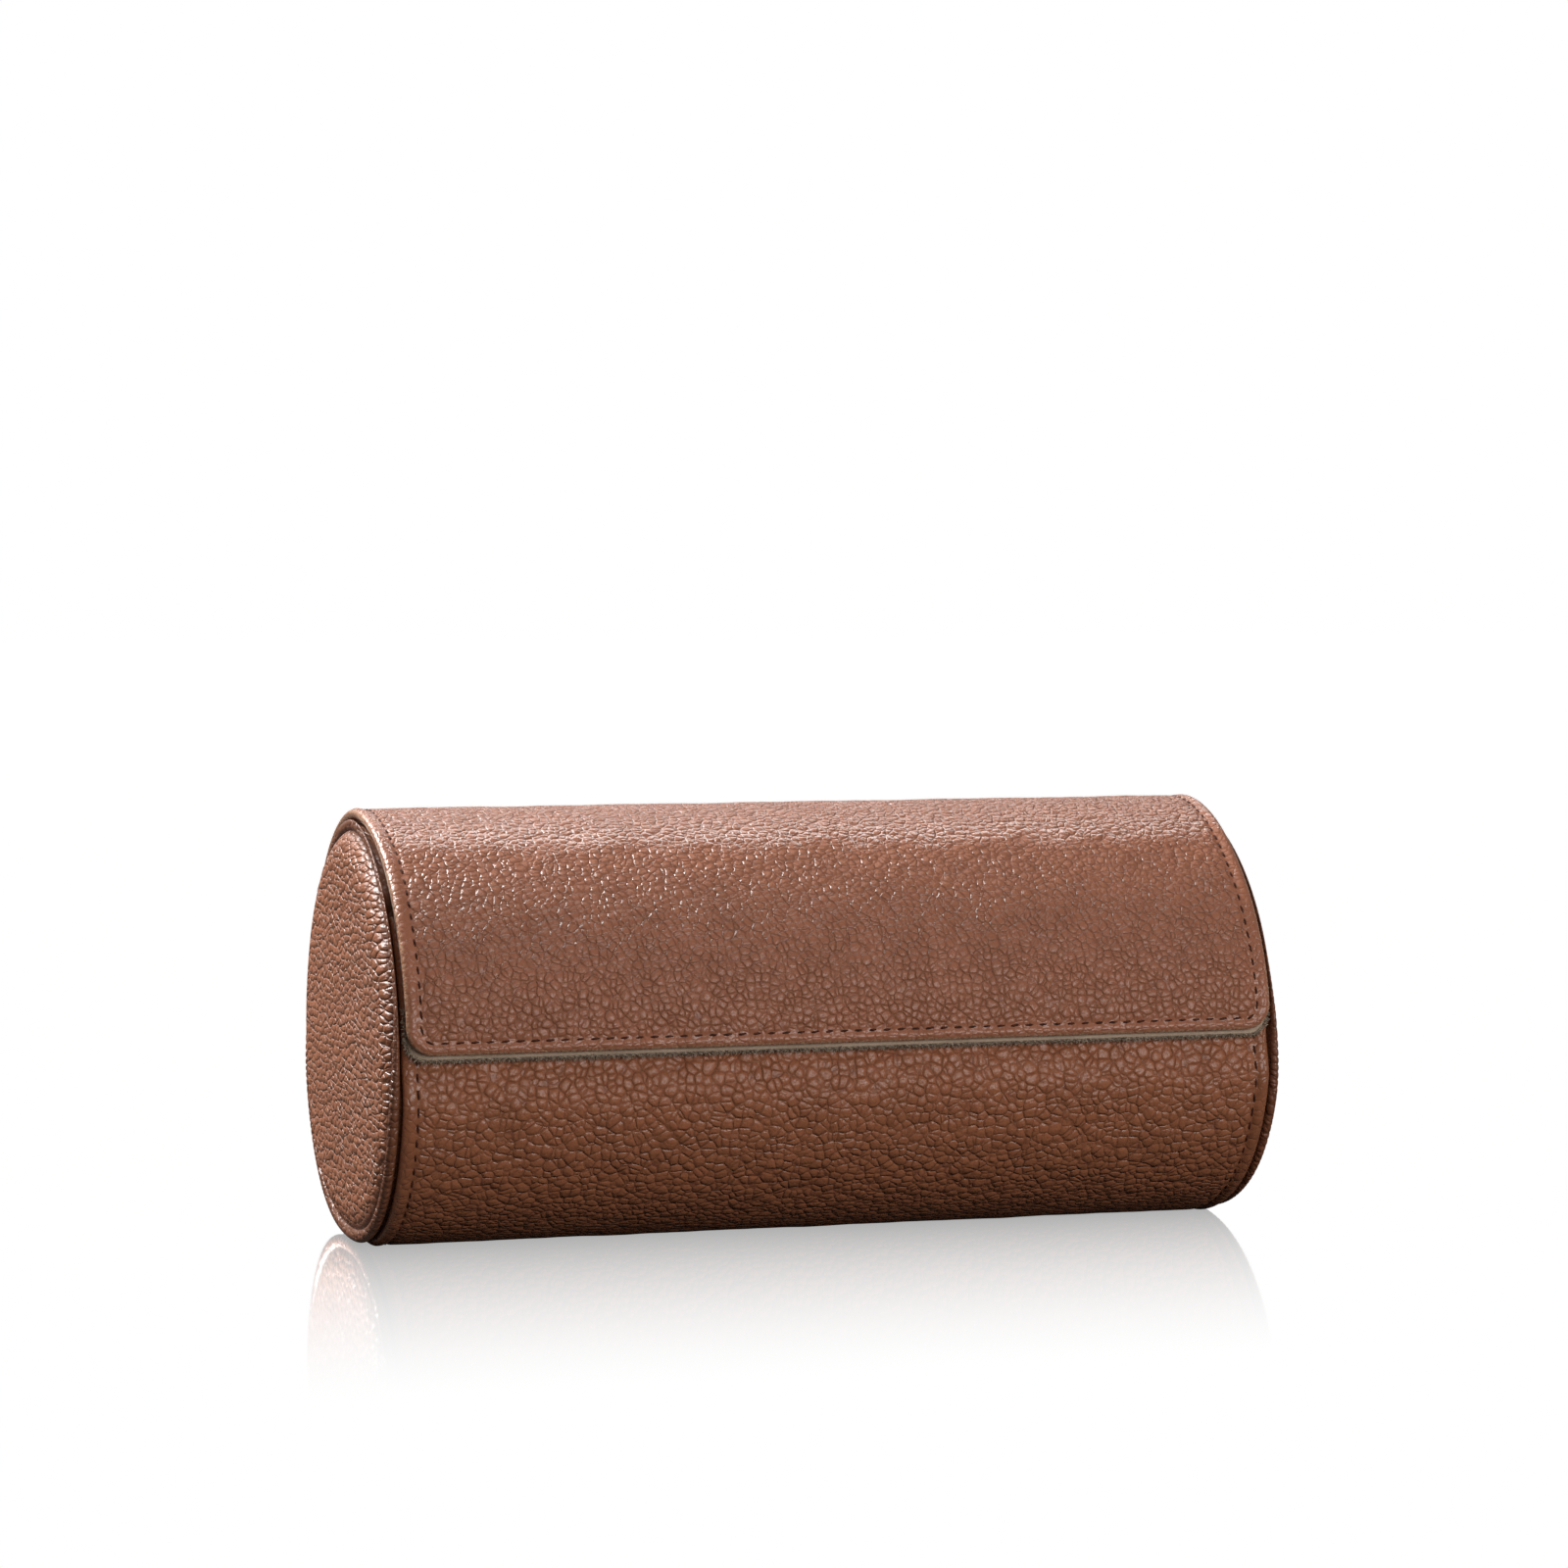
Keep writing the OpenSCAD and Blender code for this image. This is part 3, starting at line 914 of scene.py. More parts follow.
@dataclass(frozen=True)
class Strands:
    """Small bent strands that a Geometry Nodes tree sets along lines, each turned and sized a little apart.

    Attributes:
        finish: What the strands are covered with.
        title: Name of the node tree.
        pitch: Spacing along a line.
        length: Length of a strand.
        width: Its thickness.
        bow: Its start, middle and end: X as a share of its length, Z as shares of its length and width.
        steps: Steps along it.
        sides: Sides of its section.
        lean: Least and greatest turn about its own axes.
        size: Least and greatest size along its own axes.
        lengthwise: Whether it lies along its line and is shaded smooth.
        seed: Seed of the turns and sizes.
    """

    finish: Finish
    title: str
    pitch: float
    length: float
    width: float
    bow: tuple
    steps: int
    sides: int
    lean: tuple
    size: tuple
    lengthwise: bool
    seed: int

    def _inputs(self, face: bpy.types.NodeTreeInterface) -> dict[str, float]:
        """Makes the tree's sockets, and gives the values of its inputs by identifier."""
        face.new_socket(name="Line", in_out="INPUT", socket_type="NodeSocketGeometry")
        face.new_socket(name="Strands", in_out="OUTPUT", socket_type="NodeSocketGeometry")
        values = {}
        for name, value in (("Pitch", self.pitch), ("Length", self.length), ("Width", self.width)):
            socket = face.new_socket(name=name, in_out="INPUT", socket_type="NodeSocketFloat")
            socket.default_value = values[socket.identifier] = value * MM
        seed = face.new_socket(name="Seed", in_out="INPUT", socket_type="NodeSocketInt")
        values[seed.identifier] = self.seed
        return values

    def _strand(self, graph: Graph, given: bpy.types.NodeOutputs) -> Socket:
        """One strand, swept along its bow."""
        ends = {}
        for name, (along, up, out) in zip(("Start", "Middle", "End"), self.bow):
            x = graph.product(given["Length"], along)
            z = graph.total(graph.product(given["Length"], up), graph.product(given["Width"], out))
            ends[name] = graph.out("ShaderNodeCombineXYZ", {"X": x, "Z": z})
        bow = graph.out("GeometryNodeCurveQuadraticBezier", {"Resolution": self.steps, **ends})
        radius = graph.product(given["Width"], 0.5)
        ring = graph.out("GeometryNodeCurvePrimitiveCircle", {"Resolution": self.sides, "Radius": radius})
        return graph.out("GeometryNodeCurveToMesh", {"Curve": bow, "Profile Curve": ring, "Fill Caps": True})

    def _turn(self, graph: Graph) -> Socket:
        """How a strand is turned before it leans, from the line's upward direction."""
        upward = graph.out("GeometryNodeInputNamedAttribute", {"Name": "upward"}, data_type="FLOAT_VECTOR")
        if not self.lengthwise:
            return graph.out("FunctionNodeAlignRotationToVector", {"Vector": upward}, axis="Z")
        axes = {0: upward, 1: graph.out("GeometryNodeInputTangent")}
        return graph.out("FunctionNodeAxesToRotation", axes, primary_axis="Z", secondary_axis="X")

    def _tree(self) -> tuple[bpy.types.NodeTree, dict[str, float]]:
        """The node tree, and the values of its inputs by identifier."""
        tree = bpy.data.node_groups.new(self.title, "GeometryNodeTree")
        values = self._inputs(tree.interface)
        graph = Graph(tree)
        given = graph.add("NodeGroupInput").outputs
        curve = graph.out("GeometryNodeMeshToCurve", {"Mesh": given["Line"]})
        spaced = {"Curve": curve, "Length": given["Pitch"]}
        row = graph.out("GeometryNodeResampleCurve", spaced, mode="LENGTH")
        lean, size = (
            graph.out(
                "FunctionNodeRandomValue",
                {"Min": low, "Max": high, "Seed": given["Seed"]},
                data_type="FLOAT_VECTOR",
            )
            for low, high in (self.lean, self.size)
        )
        leaning = {0: self._turn(graph), 1: lean}
        placed = {
            "Points": row,
            "Instance": self._strand(graph, given),
            "Rotation": graph.out("FunctionNodeRotateRotation", leaning, rotation_space="LOCAL"),
            "Scale": size,
        }
        placed = graph.out("GeometryNodeInstanceOnPoints", placed)
        made = graph.out("GeometryNodeRealizeInstances", {"Geometry": placed})
        if self.lengthwise:
            made = graph.out("GeometryNodeSetShadeSmooth", {"Geometry": made})
        covered = {"Geometry": made, "Material": self.finish.material()}
        graph.add("NodeGroupOutput", {0: graph.out("GeometryNodeSetMaterial", covered)})
        return tree, values

    def build(self, name: str, lines: Sequence[Line]) -> bpy.types.Object:
        """Sets strands along lines and keeps them as one plain mesh piece.

        Args:
            name: The piece's name.
            lines: For each line, its points in millimetres and the upward direction at each.

        Returns:
            The piece.
        """
        points, edges, upward = [], [], []
        for path, out in lines:
            first = len(points)
            points.extend((path * MM).tolist())
            upward.extend(out.tolist())
            edges.extend((first + i, first + i + 1) for i in range(len(path) - 1))
        mesh = bpy.data.meshes.new(name + "_line")
        mesh.from_pydata(points, edges, [])
        layer = mesh.attributes.new("upward", "FLOAT_VECTOR", "POINT")
        layer.data.foreach_set("vector", np.array(upward, np.float32).ravel())
        carrier = bpy.data.objects.new(name + "_line", mesh)
        bpy.context.scene.collection.objects.link(carrier)
        modifier = carrier.modifiers.new("grow", "NODES")
        modifier.node_group, values = self._tree()
        for key, value in values.items():
            modifier[key] = value
        depsgraph = bpy.context.evaluated_depsgraph_get()
        grown = carrier.evaluated_get(depsgraph)
        made = bpy.data.meshes.new_from_object(grown, preserve_all_data_layers=True, depsgraph=depsgraph)
        bpy.data.objects.remove(carrier)
        made.name = name
        return link_piece(name, made)


@dataclass(frozen=True)
class StitchRow(Strands):
    """A row of lock stitches that follows a line on the leather."""

    title: str = "stitch_row"
    pitch: float = 3.3
    length: float = 2.25
    width: float = 0.52
    bow: tuple = ((-0.5, 0.0, -0.75), (0.0, 0.0, 1.1), (0.5, 0.0, -0.75))
    steps: int = 5
    sides: int = 6
    lean: tuple = ((-0.06, -0.02, 0.02), (0.06, 0.02, 0.16))
    size: tuple = ((0.9, 0.92, 0.94), (1.06, 1.06, 1.04))
    lengthwise: bool = True
    seed: int = 3


@dataclass(frozen=True)
class Fuzz(Strands):
    """Short fibres that stand out of a cut suede edge."""

    title: str = "suede_fuzz"
    pitch: float = 0.13
    length: float = 0.85
    width: float = 0.15
    bow: tuple = ((0.0, -0.3, 0.0), (0.0, 0.5, 0.0), (0.5, 1.0, 0.0))
    steps: int = 3
    sides: int = 3
    lean: tuple = ((-0.9, -0.9, -math.pi), (0.9, 0.9, math.pi))
    size: tuple = ((0.6, 0.6, 0.35), (1.3, 1.3, 1.3))
    lengthwise: bool = False
    seed: int = 5


# Sub-assemblies


def wall_line(section: Section, x: Array, reach: Array, face: Offset) -> Line:
    """A line on the wall, as points and outward directions."""
    angle = section.angle_at(reach)
    height = face(angle)
    inner, outer = section.at(angle, height), section.at(angle, height + 1.0)
    points = np.concatenate([x[:, None], inner], axis=1)
    outward = np.concatenate([np.zeros((len(x), 1)), outer - inner], axis=1)
    return points, outward


def rim_path(section: Section, half: float, radius: float, start: float, end: float) -> Line:
    """Path down one side of the flap, round its corners along the lip, and up the other side.

    Args:
        section: The oval.
        half: Half of the path's length along the roll.
        radius: Radius of its corners.
        start: Distance round the oval at which it starts and ends.
        end: Distance round the oval of the lip's part.

    Returns:
        Places along the roll, flared with the leather, and distances round the oval.
    """
    side = np.arange(start, end - radius, LINE_STEP)
    turn = np.linspace(0, math.pi / 2, 9)
    corner_x = -half + radius * (1 - np.cos(turn))
    corner_s = end - radius + radius * np.sin(turn)
    along = np.arange(-half + radius, half - radius, LINE_STEP)
    left = np.concatenate([np.full_like(side, -half), corner_x])
    x = np.concatenate([left, along, -left[::-1]])
    reach = np.concatenate([side, corner_s, np.full_like(along, end), corner_s[::-1], side[::-1]])
    flare = section.side_flare(section.angle_at(reach))
    return x + np.sign(x) * flare * (np.abs(x) > half - radius), reach


@dataclass
class Case:
    """The tube's wall: leather turned round a board, and its suede lining."""

    section: Section
    half_len: float
    inner_half: float
    lining_inset: float = 2.4
    seam: float = 3.3
    seam_ends: tuple[float, float] = (2.2, 0.8)

    def leather(self) -> Sheet:
        """The leather wrap."""
        section = self.section
        return Sheet(
            section,
            (self.half_len, self.half_len),
            section.reach(section.front_angle),
            section.reach(360 + section.back_angle),
            section.wall_face,
            below(section.wall_face, section.wall),
            open_end=True,
            flared=True,
            roll=1.4,
            seam=self.seam,
            step=1.75,
        )

    def lining(self) -> Sheet:
        """The suede inside the tube."""
        section = self.section
        return Sheet(
            section,
            (self.inner_half, self.inner_half),
            section.reach(section.front_angle) + self.lining_inset,
            section.reach(360 + section.back_angle),
            below(section.wall_face, section.wall),
            below(section.wall_face, section.flap),
            open_end=True,
            roll=CUT_ROLL,
            step=2.5,
            uneven=0.0,
        )

    def build(self) -> None:
        """Builds the wall and its stitches."""
        leather = self.leather()
        wrap = leather.build("tube_wrap", CASE_LEATHER)
        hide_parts("case_leather")
        lining = self.lining().build("tube_lining", LINING_SUEDE)
        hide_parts("case_lining")
        reach = np.arange(leather.start + self.seam_ends[0], leather.end - self.seam_ends[1], LINE_STEP)
        x = self.half_len - self.seam + self.section.side_flare(self.section.angle_at(reach))
        lines = [wall_line(self.section, side.value * x, reach, leather.seam_height) for side in Side]
        stitches = StitchRow(CASE_THREAD, pitch=3.6, length=2.6).build("tube_stitches", lines)
        for piece in (wrap, lining, stitches):
            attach(piece, "case")


@dataclass
class Flap:
    """The stiff flap: leather turned round a board, its suede lining and its stitches."""

    section: Section
    half_len: float
    corner: float = 6.0
    seam: float = 3.3
    lip_seam: float = 2.7
    lining_in: float = 0.25
    lining_out: float = 1.15
    lining_swell: float = 0.75
    lining_round: float = 0.6
    lining_corner: float = 4.4
    seam_start: float = 0.6
    nap_angle: float = 168.0
    nap_rows: tuple = ((0.0, 0.7), (0.35, 0.3))

    def leather(self) -> Sheet:
        """The leather of the flap."""
        section = self.section
        return Sheet(
            section,
            (self.half_len, self.half_len),
            section.reach(section.flap_angle),
            section.reach(section.lip_angle),
            section.flap_face,
            below(section.flap_face, section.wall),
            open_start=True,
            flared=True,
            corner=self.corner,
            roll=1.35,
            seam=self.seam,
            lip_seam=self.lip_seam,
        )

    def lining(self) -> Sheet:
        """The suede under the flap, whose cut edge shows below the leather."""
        section = self.section
        return Sheet(
            section,
            (self.half_len - self.lining_in, self.half_len - self.lining_in),
            section.reach(section.flap_angle),
            section.reach(section.lip_angle) + self.lining_out,
            lambda angle: section.flap_face(angle) - section.wall + self._swell(angle),
            below(section.flap_face, section.flap),
            open_start=True,
            corner=self.lining_corner,
            roll=CUT_ROLL,
            tip=0.5,
            step=2.0,
            uneven=0.0,
        )

    def _swell(self, angle: Array) -> Array:
        """How far the suede swells forward past the leather's lower edge."""
        section = self.section
        return self.lining_swell * ease((angle - section.lip_angle) / section.turn(self.lining_round))

    def _cut_edge(self) -> list[Line]:
        """Lines along the suede's cut edge, with the ways its fibres point: out of the edge and forward."""
        suede = self.lining()
        half, radius = suede.half_len[0], suede.corner
        x, reach = rim_path(self.section, half, radius, self.section.reach(self.nap_angle), suede.end)
        lines = []
        for depth, forward in self.nap_rows:
            points, outward = wall_line(self.section, x, reach, below(suede.outer, depth))
            away = np.cross(np.gradient(points, axis=0), outward)
            away /= np.linalg.norm(away, axis=1, keepdims=True)
            outgoing = away[:, 0] * x - away[:, 2] * (np.abs(x) < half - radius)
            away *= np.where(outgoing < 0, -1, 1)[:, None]
            lines.append((points, away + outward * forward))
        return lines

    def build(self) -> None:
        """Builds the flap."""
        leather = self.leather()
        skin = leather.build("flap_wrap", FLAP_LEATHER)
        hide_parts("flap_leather")
        lining = self.lining().build("flap_suede", LINING_SUEDE)
        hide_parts("flap_lining")
        half, radius = self.half_len - self.seam, self.corner - self.seam
        start, end = leather.start + self.seam_start, leather.end - self.lip_seam
        path = rim_path(self.section, half, radius, start, end)
        line = wall_line(self.section, *path, leather.seam_height)
        stitches = StitchRow(FLAP_THREAD).build("flap_stitches", [line])
        nap = Fuzz(SUEDE_FUZZ).build("flap_suede_nap", self._cut_edge())
        for piece in (skin, lining, stitches, nap):
            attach(piece, "flap")


@dataclass
class Fold:
    """The strip at the back where only leather and lining run on, as a living hinge."""

    section: Section
    case_half: float
    flap_half: float
    inner_half: float
    dip: float = 0.25
    seam: float = 3.3
    seam_ends: tuple[float, float] = (0.8, 0.6)

    def _sag(self, angle: Array) -> Array:
        """How far the leather sinks where no board backs it."""
        section = self.section
        share = (angle - section.back_angle) / (section.flap_angle - section.back_angle)
        return -self.dip * np.sin(math.pi * np.clip(share, 0, 1)) ** 2

    def build(self) -> None:
        """Builds the strip's leather and lining."""
        section = self.section
        start, end = section.reach(section.back_angle), section.reach(section.flap_angle)
        leather = Sheet(
            section,
            (self.case_half, self.flap_half),
            start,
            end,
            self._sag,
            below(self._sag, section.leather),
            open_start=True,
            open_end=True,
            flared=True,
            roll=0.8,
            seam=self.seam,
            step=0.6,
        )
        skin = leather.build("fold_wrap", FLAP_LEATHER)
        suede = Sheet(
            section,
            (self.inner_half, self.inner_half),
            start,
            end,
            below(self._sag, section.leather),
            below(self._sag, section.leather + section.lining),
            open_start=True,
            open_end=True,
            roll=CUT_ROLL,
            step=0.8,
            uneven=0.0,
        ).build("fold_suede", LINING_SUEDE)
        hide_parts("fold_leather")
        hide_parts("fold_lining")
        reach = np.arange(start + self.seam_ends[0], end - self.seam_ends[1], LINE_STEP)
        half = np.interp(reach, (start, end), (self.case_half, self.flap_half)) - self.seam
        half = half + section.side_flare(section.angle_at(reach))
        lines = [wall_line(section, side.value * half, reach, leather.seam_height) for side in Side]
        stitches = StitchRow(FLAP_THREAD).build("fold_stitches", lines)
        low = [0.0, *(section.at(section.back_angle, 0.0) * MM)]
        high = [0.0, *(section.at(section.flap_angle, 0.0) * MM)]
        for piece in (skin, suede, stitches):
            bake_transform(piece)


@dataclass
class EndCap:
    """An end of the tube: leather over a padded board, with a rolled rim, and a suede inner face."""

    section: Section
    side: Side
    tube_half: float
    out: float = 2.9
    sunk: float = 1.6
    rim_inset: float = 0.8
    up_from: float = 30.0
    up_rise: float = 36.0
    top_inset: float = 1.6
    top_thin: float = 0.2
    rim_width: float = 3.0
    gap: float = 0.6
    crease: float = 0.9
    pleat: float = 0.34
    pleats: int = 164
    skirt: float = 3.2
    dome: float = 3.7
    crown: float = 0.5
    shoulder: float = 7.0
    pad_inset: float = 3.5
    pad_roll: float = 1.5
    board: float = 2.0
    around: int = 1080
    rings: tuple[int, ...] = (4, 15, 8, 18, 28)
    edge_shares: tuple = (*[0.75] * 10, *[0.62] * 12, *np.linspace(0.62, 0.8, 8), *np.linspace(0.5, 0.0, 4))
    toward_ring: int = -24
    foreshorten: float = 0.5
    grain_depth: float = 3.0

    def _angles(self) -> Array:
        """Angles round the cap."""
        return np.arange(self.around) * 360.0 / self.around

    def _up(self) -> Array:
        """0 round the cap's lower half, rising to 1 at its top."""
        angle = self._angles()
        return ease((self.section.at(angle, 0 * angle)[:, 1] - self.up_from) / self.up_rise)

    def _ring(self, out: float | Array, offset: float | Array, share: float = 1.0) -> Array:
        """A ring of points so far out of the tube's end, and so far outside the oval."""
        angle = self._angles()
        section = self.section.round_at(angle, np.broadcast_to(offset, angle.shape))
        section = self.section.centre + (section - self.section.centre) * share
        x = np.broadcast_to(np.asarray(out, float), angle.shape)[:, None]
        return np.concatenate([x, section], axis=1)

    def _place(self, rings: list[Array]) -> Array:
        """Rings moved to this end of the tube, in an order that keeps their surface facing outwards."""
        placed = np.array(rings)
        placed[..., 0] = self.side.value * (self.tube_half + placed[..., 0])
        return placed if self.side is Side.RIGHT else placed[:, ::-1]

    def _pucker(self, depth: float, count: int, phase: float) -> Array:
        """Small radial wrinkles round the cap, deeper towards its base."""
        turn = np.radians(self._angles())
        wave = np.sin(count * turn + phase) + 0.6 * np.sin(round(1.37 * count) * turn + 2.1 * phase)
        return depth * wave * (0.6 + 0.4 * np.sin(5 * turn + phase)) * (1.25 - self._up())

    def _pleats(self) -> Array:
        """Depth of the radial pleats where the rim's leather is drawn in, deeper towards the base."""
        turn = np.radians(self._angles())
        warped = turn + 0.012 * np.sin(7 * turn + 1.0) + 0.006 * np.sin(23 * turn)
        fold = 1 - np.abs(np.sin(self.pleats * warped / 2))
        strength = 0.55 + 0.45 * np.sin(11 * turn + 0.6) * np.sin(5 * turn)
        return self.pleat * fold**2 * strength * (1.15 - self._up())

    def leather_rings(self) -> list[Array]:
        """Rings of the leather from inside the tube, round the rim and over the padded face."""
        seat, up = self.section.seat_face(self._angles()), self._up()
        out = self.out - self.sunk * up
        inset = self.rim_inset + self.top_inset * up
        width = self.rim_width * (1 - self.top_thin * up)
        crease = self.crease * (1 - self.top_thin * up)
        mid, radius = (self.gap + out) / 2, (out - self.gap) / 2
        pleats = self._pleats()
        rings = [self._ring(-self.skirt, seat, s) for s in (0.0001, 0.5, 0.98)]
        skirt_rings, rim_rings, crease_rings, rise_rings, face_rings = self.rings
        rings += [self._ring(place, seat) for place in np.linspace(-self.skirt, self.gap - 0.2, skirt_rings)]
        for turn in np.radians(np.linspace(-90, 90, rim_rings)):
            face = -inset - width / 2 * (1 - math.cos(turn)) - pleats * math.cos(turn)
            rings.append(self._ring(mid + radius * math.sin(turn) - pleats * max(math.sin(turn), 0), face))
        for share in np.linspace(0.12, 1, crease_rings):
            low = crease * share**2.2 + pleats * (1 - share)
            rings.append(self._ring(out - low, -inset - width / 2 * (1 + share)))
        valley, edge, pucker = out - crease, -inset - width, self._pucker(0.08, 131, 1.9)
        for share in np.linspace(0.06, 1, rise_rings):
            rise = (self.dome - valley) * (1 - (1 - share) ** 2.4) ** 0.8
            pleat = pucker * math.sin(math.pi * min(share * 1.6, 1))
            rings.append(self._ring(valley + rise + pleat, edge - self.shoulder * share))
        for share in np.linspace(0.97, 0.03, face_rings):
            rings.append(self._ring(self.dome + self.crown * (1 - share**2), edge - self.shoulder, share))
        return rings

    def _edge_share(self, rings: Array) -> Array:
        """How far each ring belongs to the smooth rim."""
        share = np.pad(self.edge_shares, (0, len(rings) - len(self.edge_shares)))
        return np.repeat(share, rings.shape[1])

    def _grain(self, rings: Array) -> Array:
        """Place of each point in the grain, measured over the leather from the middle of the face."""
        steps = np.linalg.norm(np.diff(rings[::-1], axis=0), axis=2)
        start = np.linalg.norm(rings[-1] - rings[-1].mean(0), axis=1)
        length = np.concatenate([start[None], start + np.cumsum(steps, axis=0)])[::-1]
        flat = rings[self.toward_ring] - rings[self.toward_ring].mean(0)
        toward = flat[:, 1:] / np.linalg.norm(flat[:, 1:], axis=1, keepdims=True)
        spread = length[..., None] * toward * [self.foreshorten, 1.0]
        third = np.full((*length.shape, 1), self.grain_depth * self.side.value)
        return np.concatenate([spread, third], axis=2).reshape(-1, 3)

    def build(self) -> None:
        """Builds the cap's leather, pad and lining."""
        suffix = self.side.name.lower()
        rings = self._place(self.leather_rings())
        grain = self._grain(rings)
        grain = np.concatenate([grain, grain[:1], [[0.0, 0.0, self.grain_depth * self.side.value]]])
        edge = np.concatenate([self._edge_share(rings), [1.0, 0.0]])
        leather = make_piece(f"end_cap_{suffix}", *ring_loft(rings), CAP_LEATHER, grain, edge)
        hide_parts(f"end_leather_{suffix}")
        suede = make_piece(f"end_suede_{suffix}", *self._lining(), LINING_SUEDE)
        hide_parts(f"end_lining_{suffix}")
        foam = make_piece(f"end_foam_{suffix}", *self._pad(), FOAM)
        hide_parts(f"end_pad_{suffix}")
        for piece in (leather, suede, foam):
            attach(piece, "case")

    def _lining(self) -> Line:
        """A disc of suede that fills the tube behind the cap, as points and quads."""
        low, high, roll = -self.skirt - self.section.lining, -self.skirt, 0.25
        seat = self.section.seat_face(self._angles())
        rings = [self._ring(low, seat - roll, share) for share in INNER_SHARES]
        rings += [self._ring(low, seat - roll), self._ring(low + roll, seat), self._ring(high - roll, seat)]
        rings += [self._ring(high, seat - roll, share) for share in (1.0, *INNER_SHARES[::-1])]
        return ring_loft(self._place(rings))

    def _pad(self) -> Line:
        """The foam between the board and the leather's face, as points and quads."""
        low = self.board - self.skirt
        high = self.out - self.crease - self.section.leather
        inset = -self.rim_inset - self.top_inset - self.rim_width - self.pad_inset
        rings = [self._ring(low, inset, share) for share in (0.02, 0.5, 0.985)]
        for turn in np.radians(np.linspace(0, 90, 5)):
            rise = (high - low) * math.sin(turn)
            rings.append(self._ring(low + rise * 0.9, inset - self.pad_roll * (1 - math.cos(turn))))
        inset -= self.pad_roll
        rings += [self._ring(high - (high - low) * 0.1 * share, inset, share) for share in (0.9, 0.5, 0.02)]
        return ring_loft(self._place(rings))


@dataclass
class Divider:
    """A board covered in suede that stands between two compartments."""

    section: Section
    side: Side
    centre_x: float
    thickness: float = 2.9
    top: float = 70.0
    shoulder: float = 18.0
    roll: float = 1.3

    def _wall(self, angle: Array) -> Array:
        """Inner face of the tube, as Y and Z."""
        lapped = np.where(angle < self.section.front_angle, angle + 360, angle)
        return self.section.at(angle, self.section.wall_face(lapped) - self.section.flap)

    def _outline(self) -> Array:
        """The plate's outline, as Y and Z, from the back edge over the base to the front and over the top."""
        arc = np.linspace(0, math.pi / 2, 10)
        rounded = self.shoulder * np.stack([np.cos(arc) - 1, np.sin(arc) - 1], -1)
        rear = rounded + [self.section.depth / 2, self.top]
        top = np.concatenate([rear, rear[::-1] * [-1, 1]]) + [self.section.centre[0], 0]
        return self._meet(self._wall(np.arange(150.0, 392.0, 2.0)), top)

    def _meet(self, wall: Array, top: Array) -> Array:
        """The part of the wall below the shoulders, closed by the part of the top inside the wall."""
        centre = self.section.centre
        rear = top[: len(top) // 2]
        limit = np.abs(np.interp(wall[:, 1], rear[:, 1], rear[:, 0])) - centre[0]
        below = (wall[:, 1] < self.top - self.shoulder) | (np.abs(wall[:, 0] - centre[0]) < limit)
        kept = wall[below & (wall[:, 1] < self.top - 0.5)]
        reach = np.array([np.interp(z, *self._width()) for z in top[:, 1]])
        inside = top[np.abs(top[:, 0] - centre[0]) < reach - 0.2]
        return np.concatenate([kept, inside])

    def _width(self) -> tuple[Array, Array]:
        """Heights, and how far the wall's inner face is from the middle at each."""
        wall = self._wall(np.linspace(272, 392, 60))
        return wall[:, 1], wall[:, 0] - self.section.centre[0]

    def build(self) -> None:
        """Builds the divider's suede cover."""
        outline = self._outline()
        middle = outline.mean(0)
        spread = outline - middle
        half = self.thickness / 2
        rings = [(-half, share) for share in INNER_SHARES]
        for turn in np.radians(np.linspace(-90, 90, 9)):
            inset = self.roll * (1 - math.cos(turn))
            rings.append((half * math.sin(turn), 1 - inset / np.linalg.norm(spread, axis=1, keepdims=True)))
        rings += [(half, share) for share in INNER_SHARES[::-1]]
        points, quads = ring_loft(
            np.array([np.insert(middle + spread * share, 0, self.centre_x + x, axis=1) for x, share in rings])
        )
        suffix = self.side.name.lower()
        cover = make_piece(f"divider_cover_{suffix}", points, quads, LINING_SUEDE)
        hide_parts(f"divider_suede_{suffix}")
        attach(cover, "case")


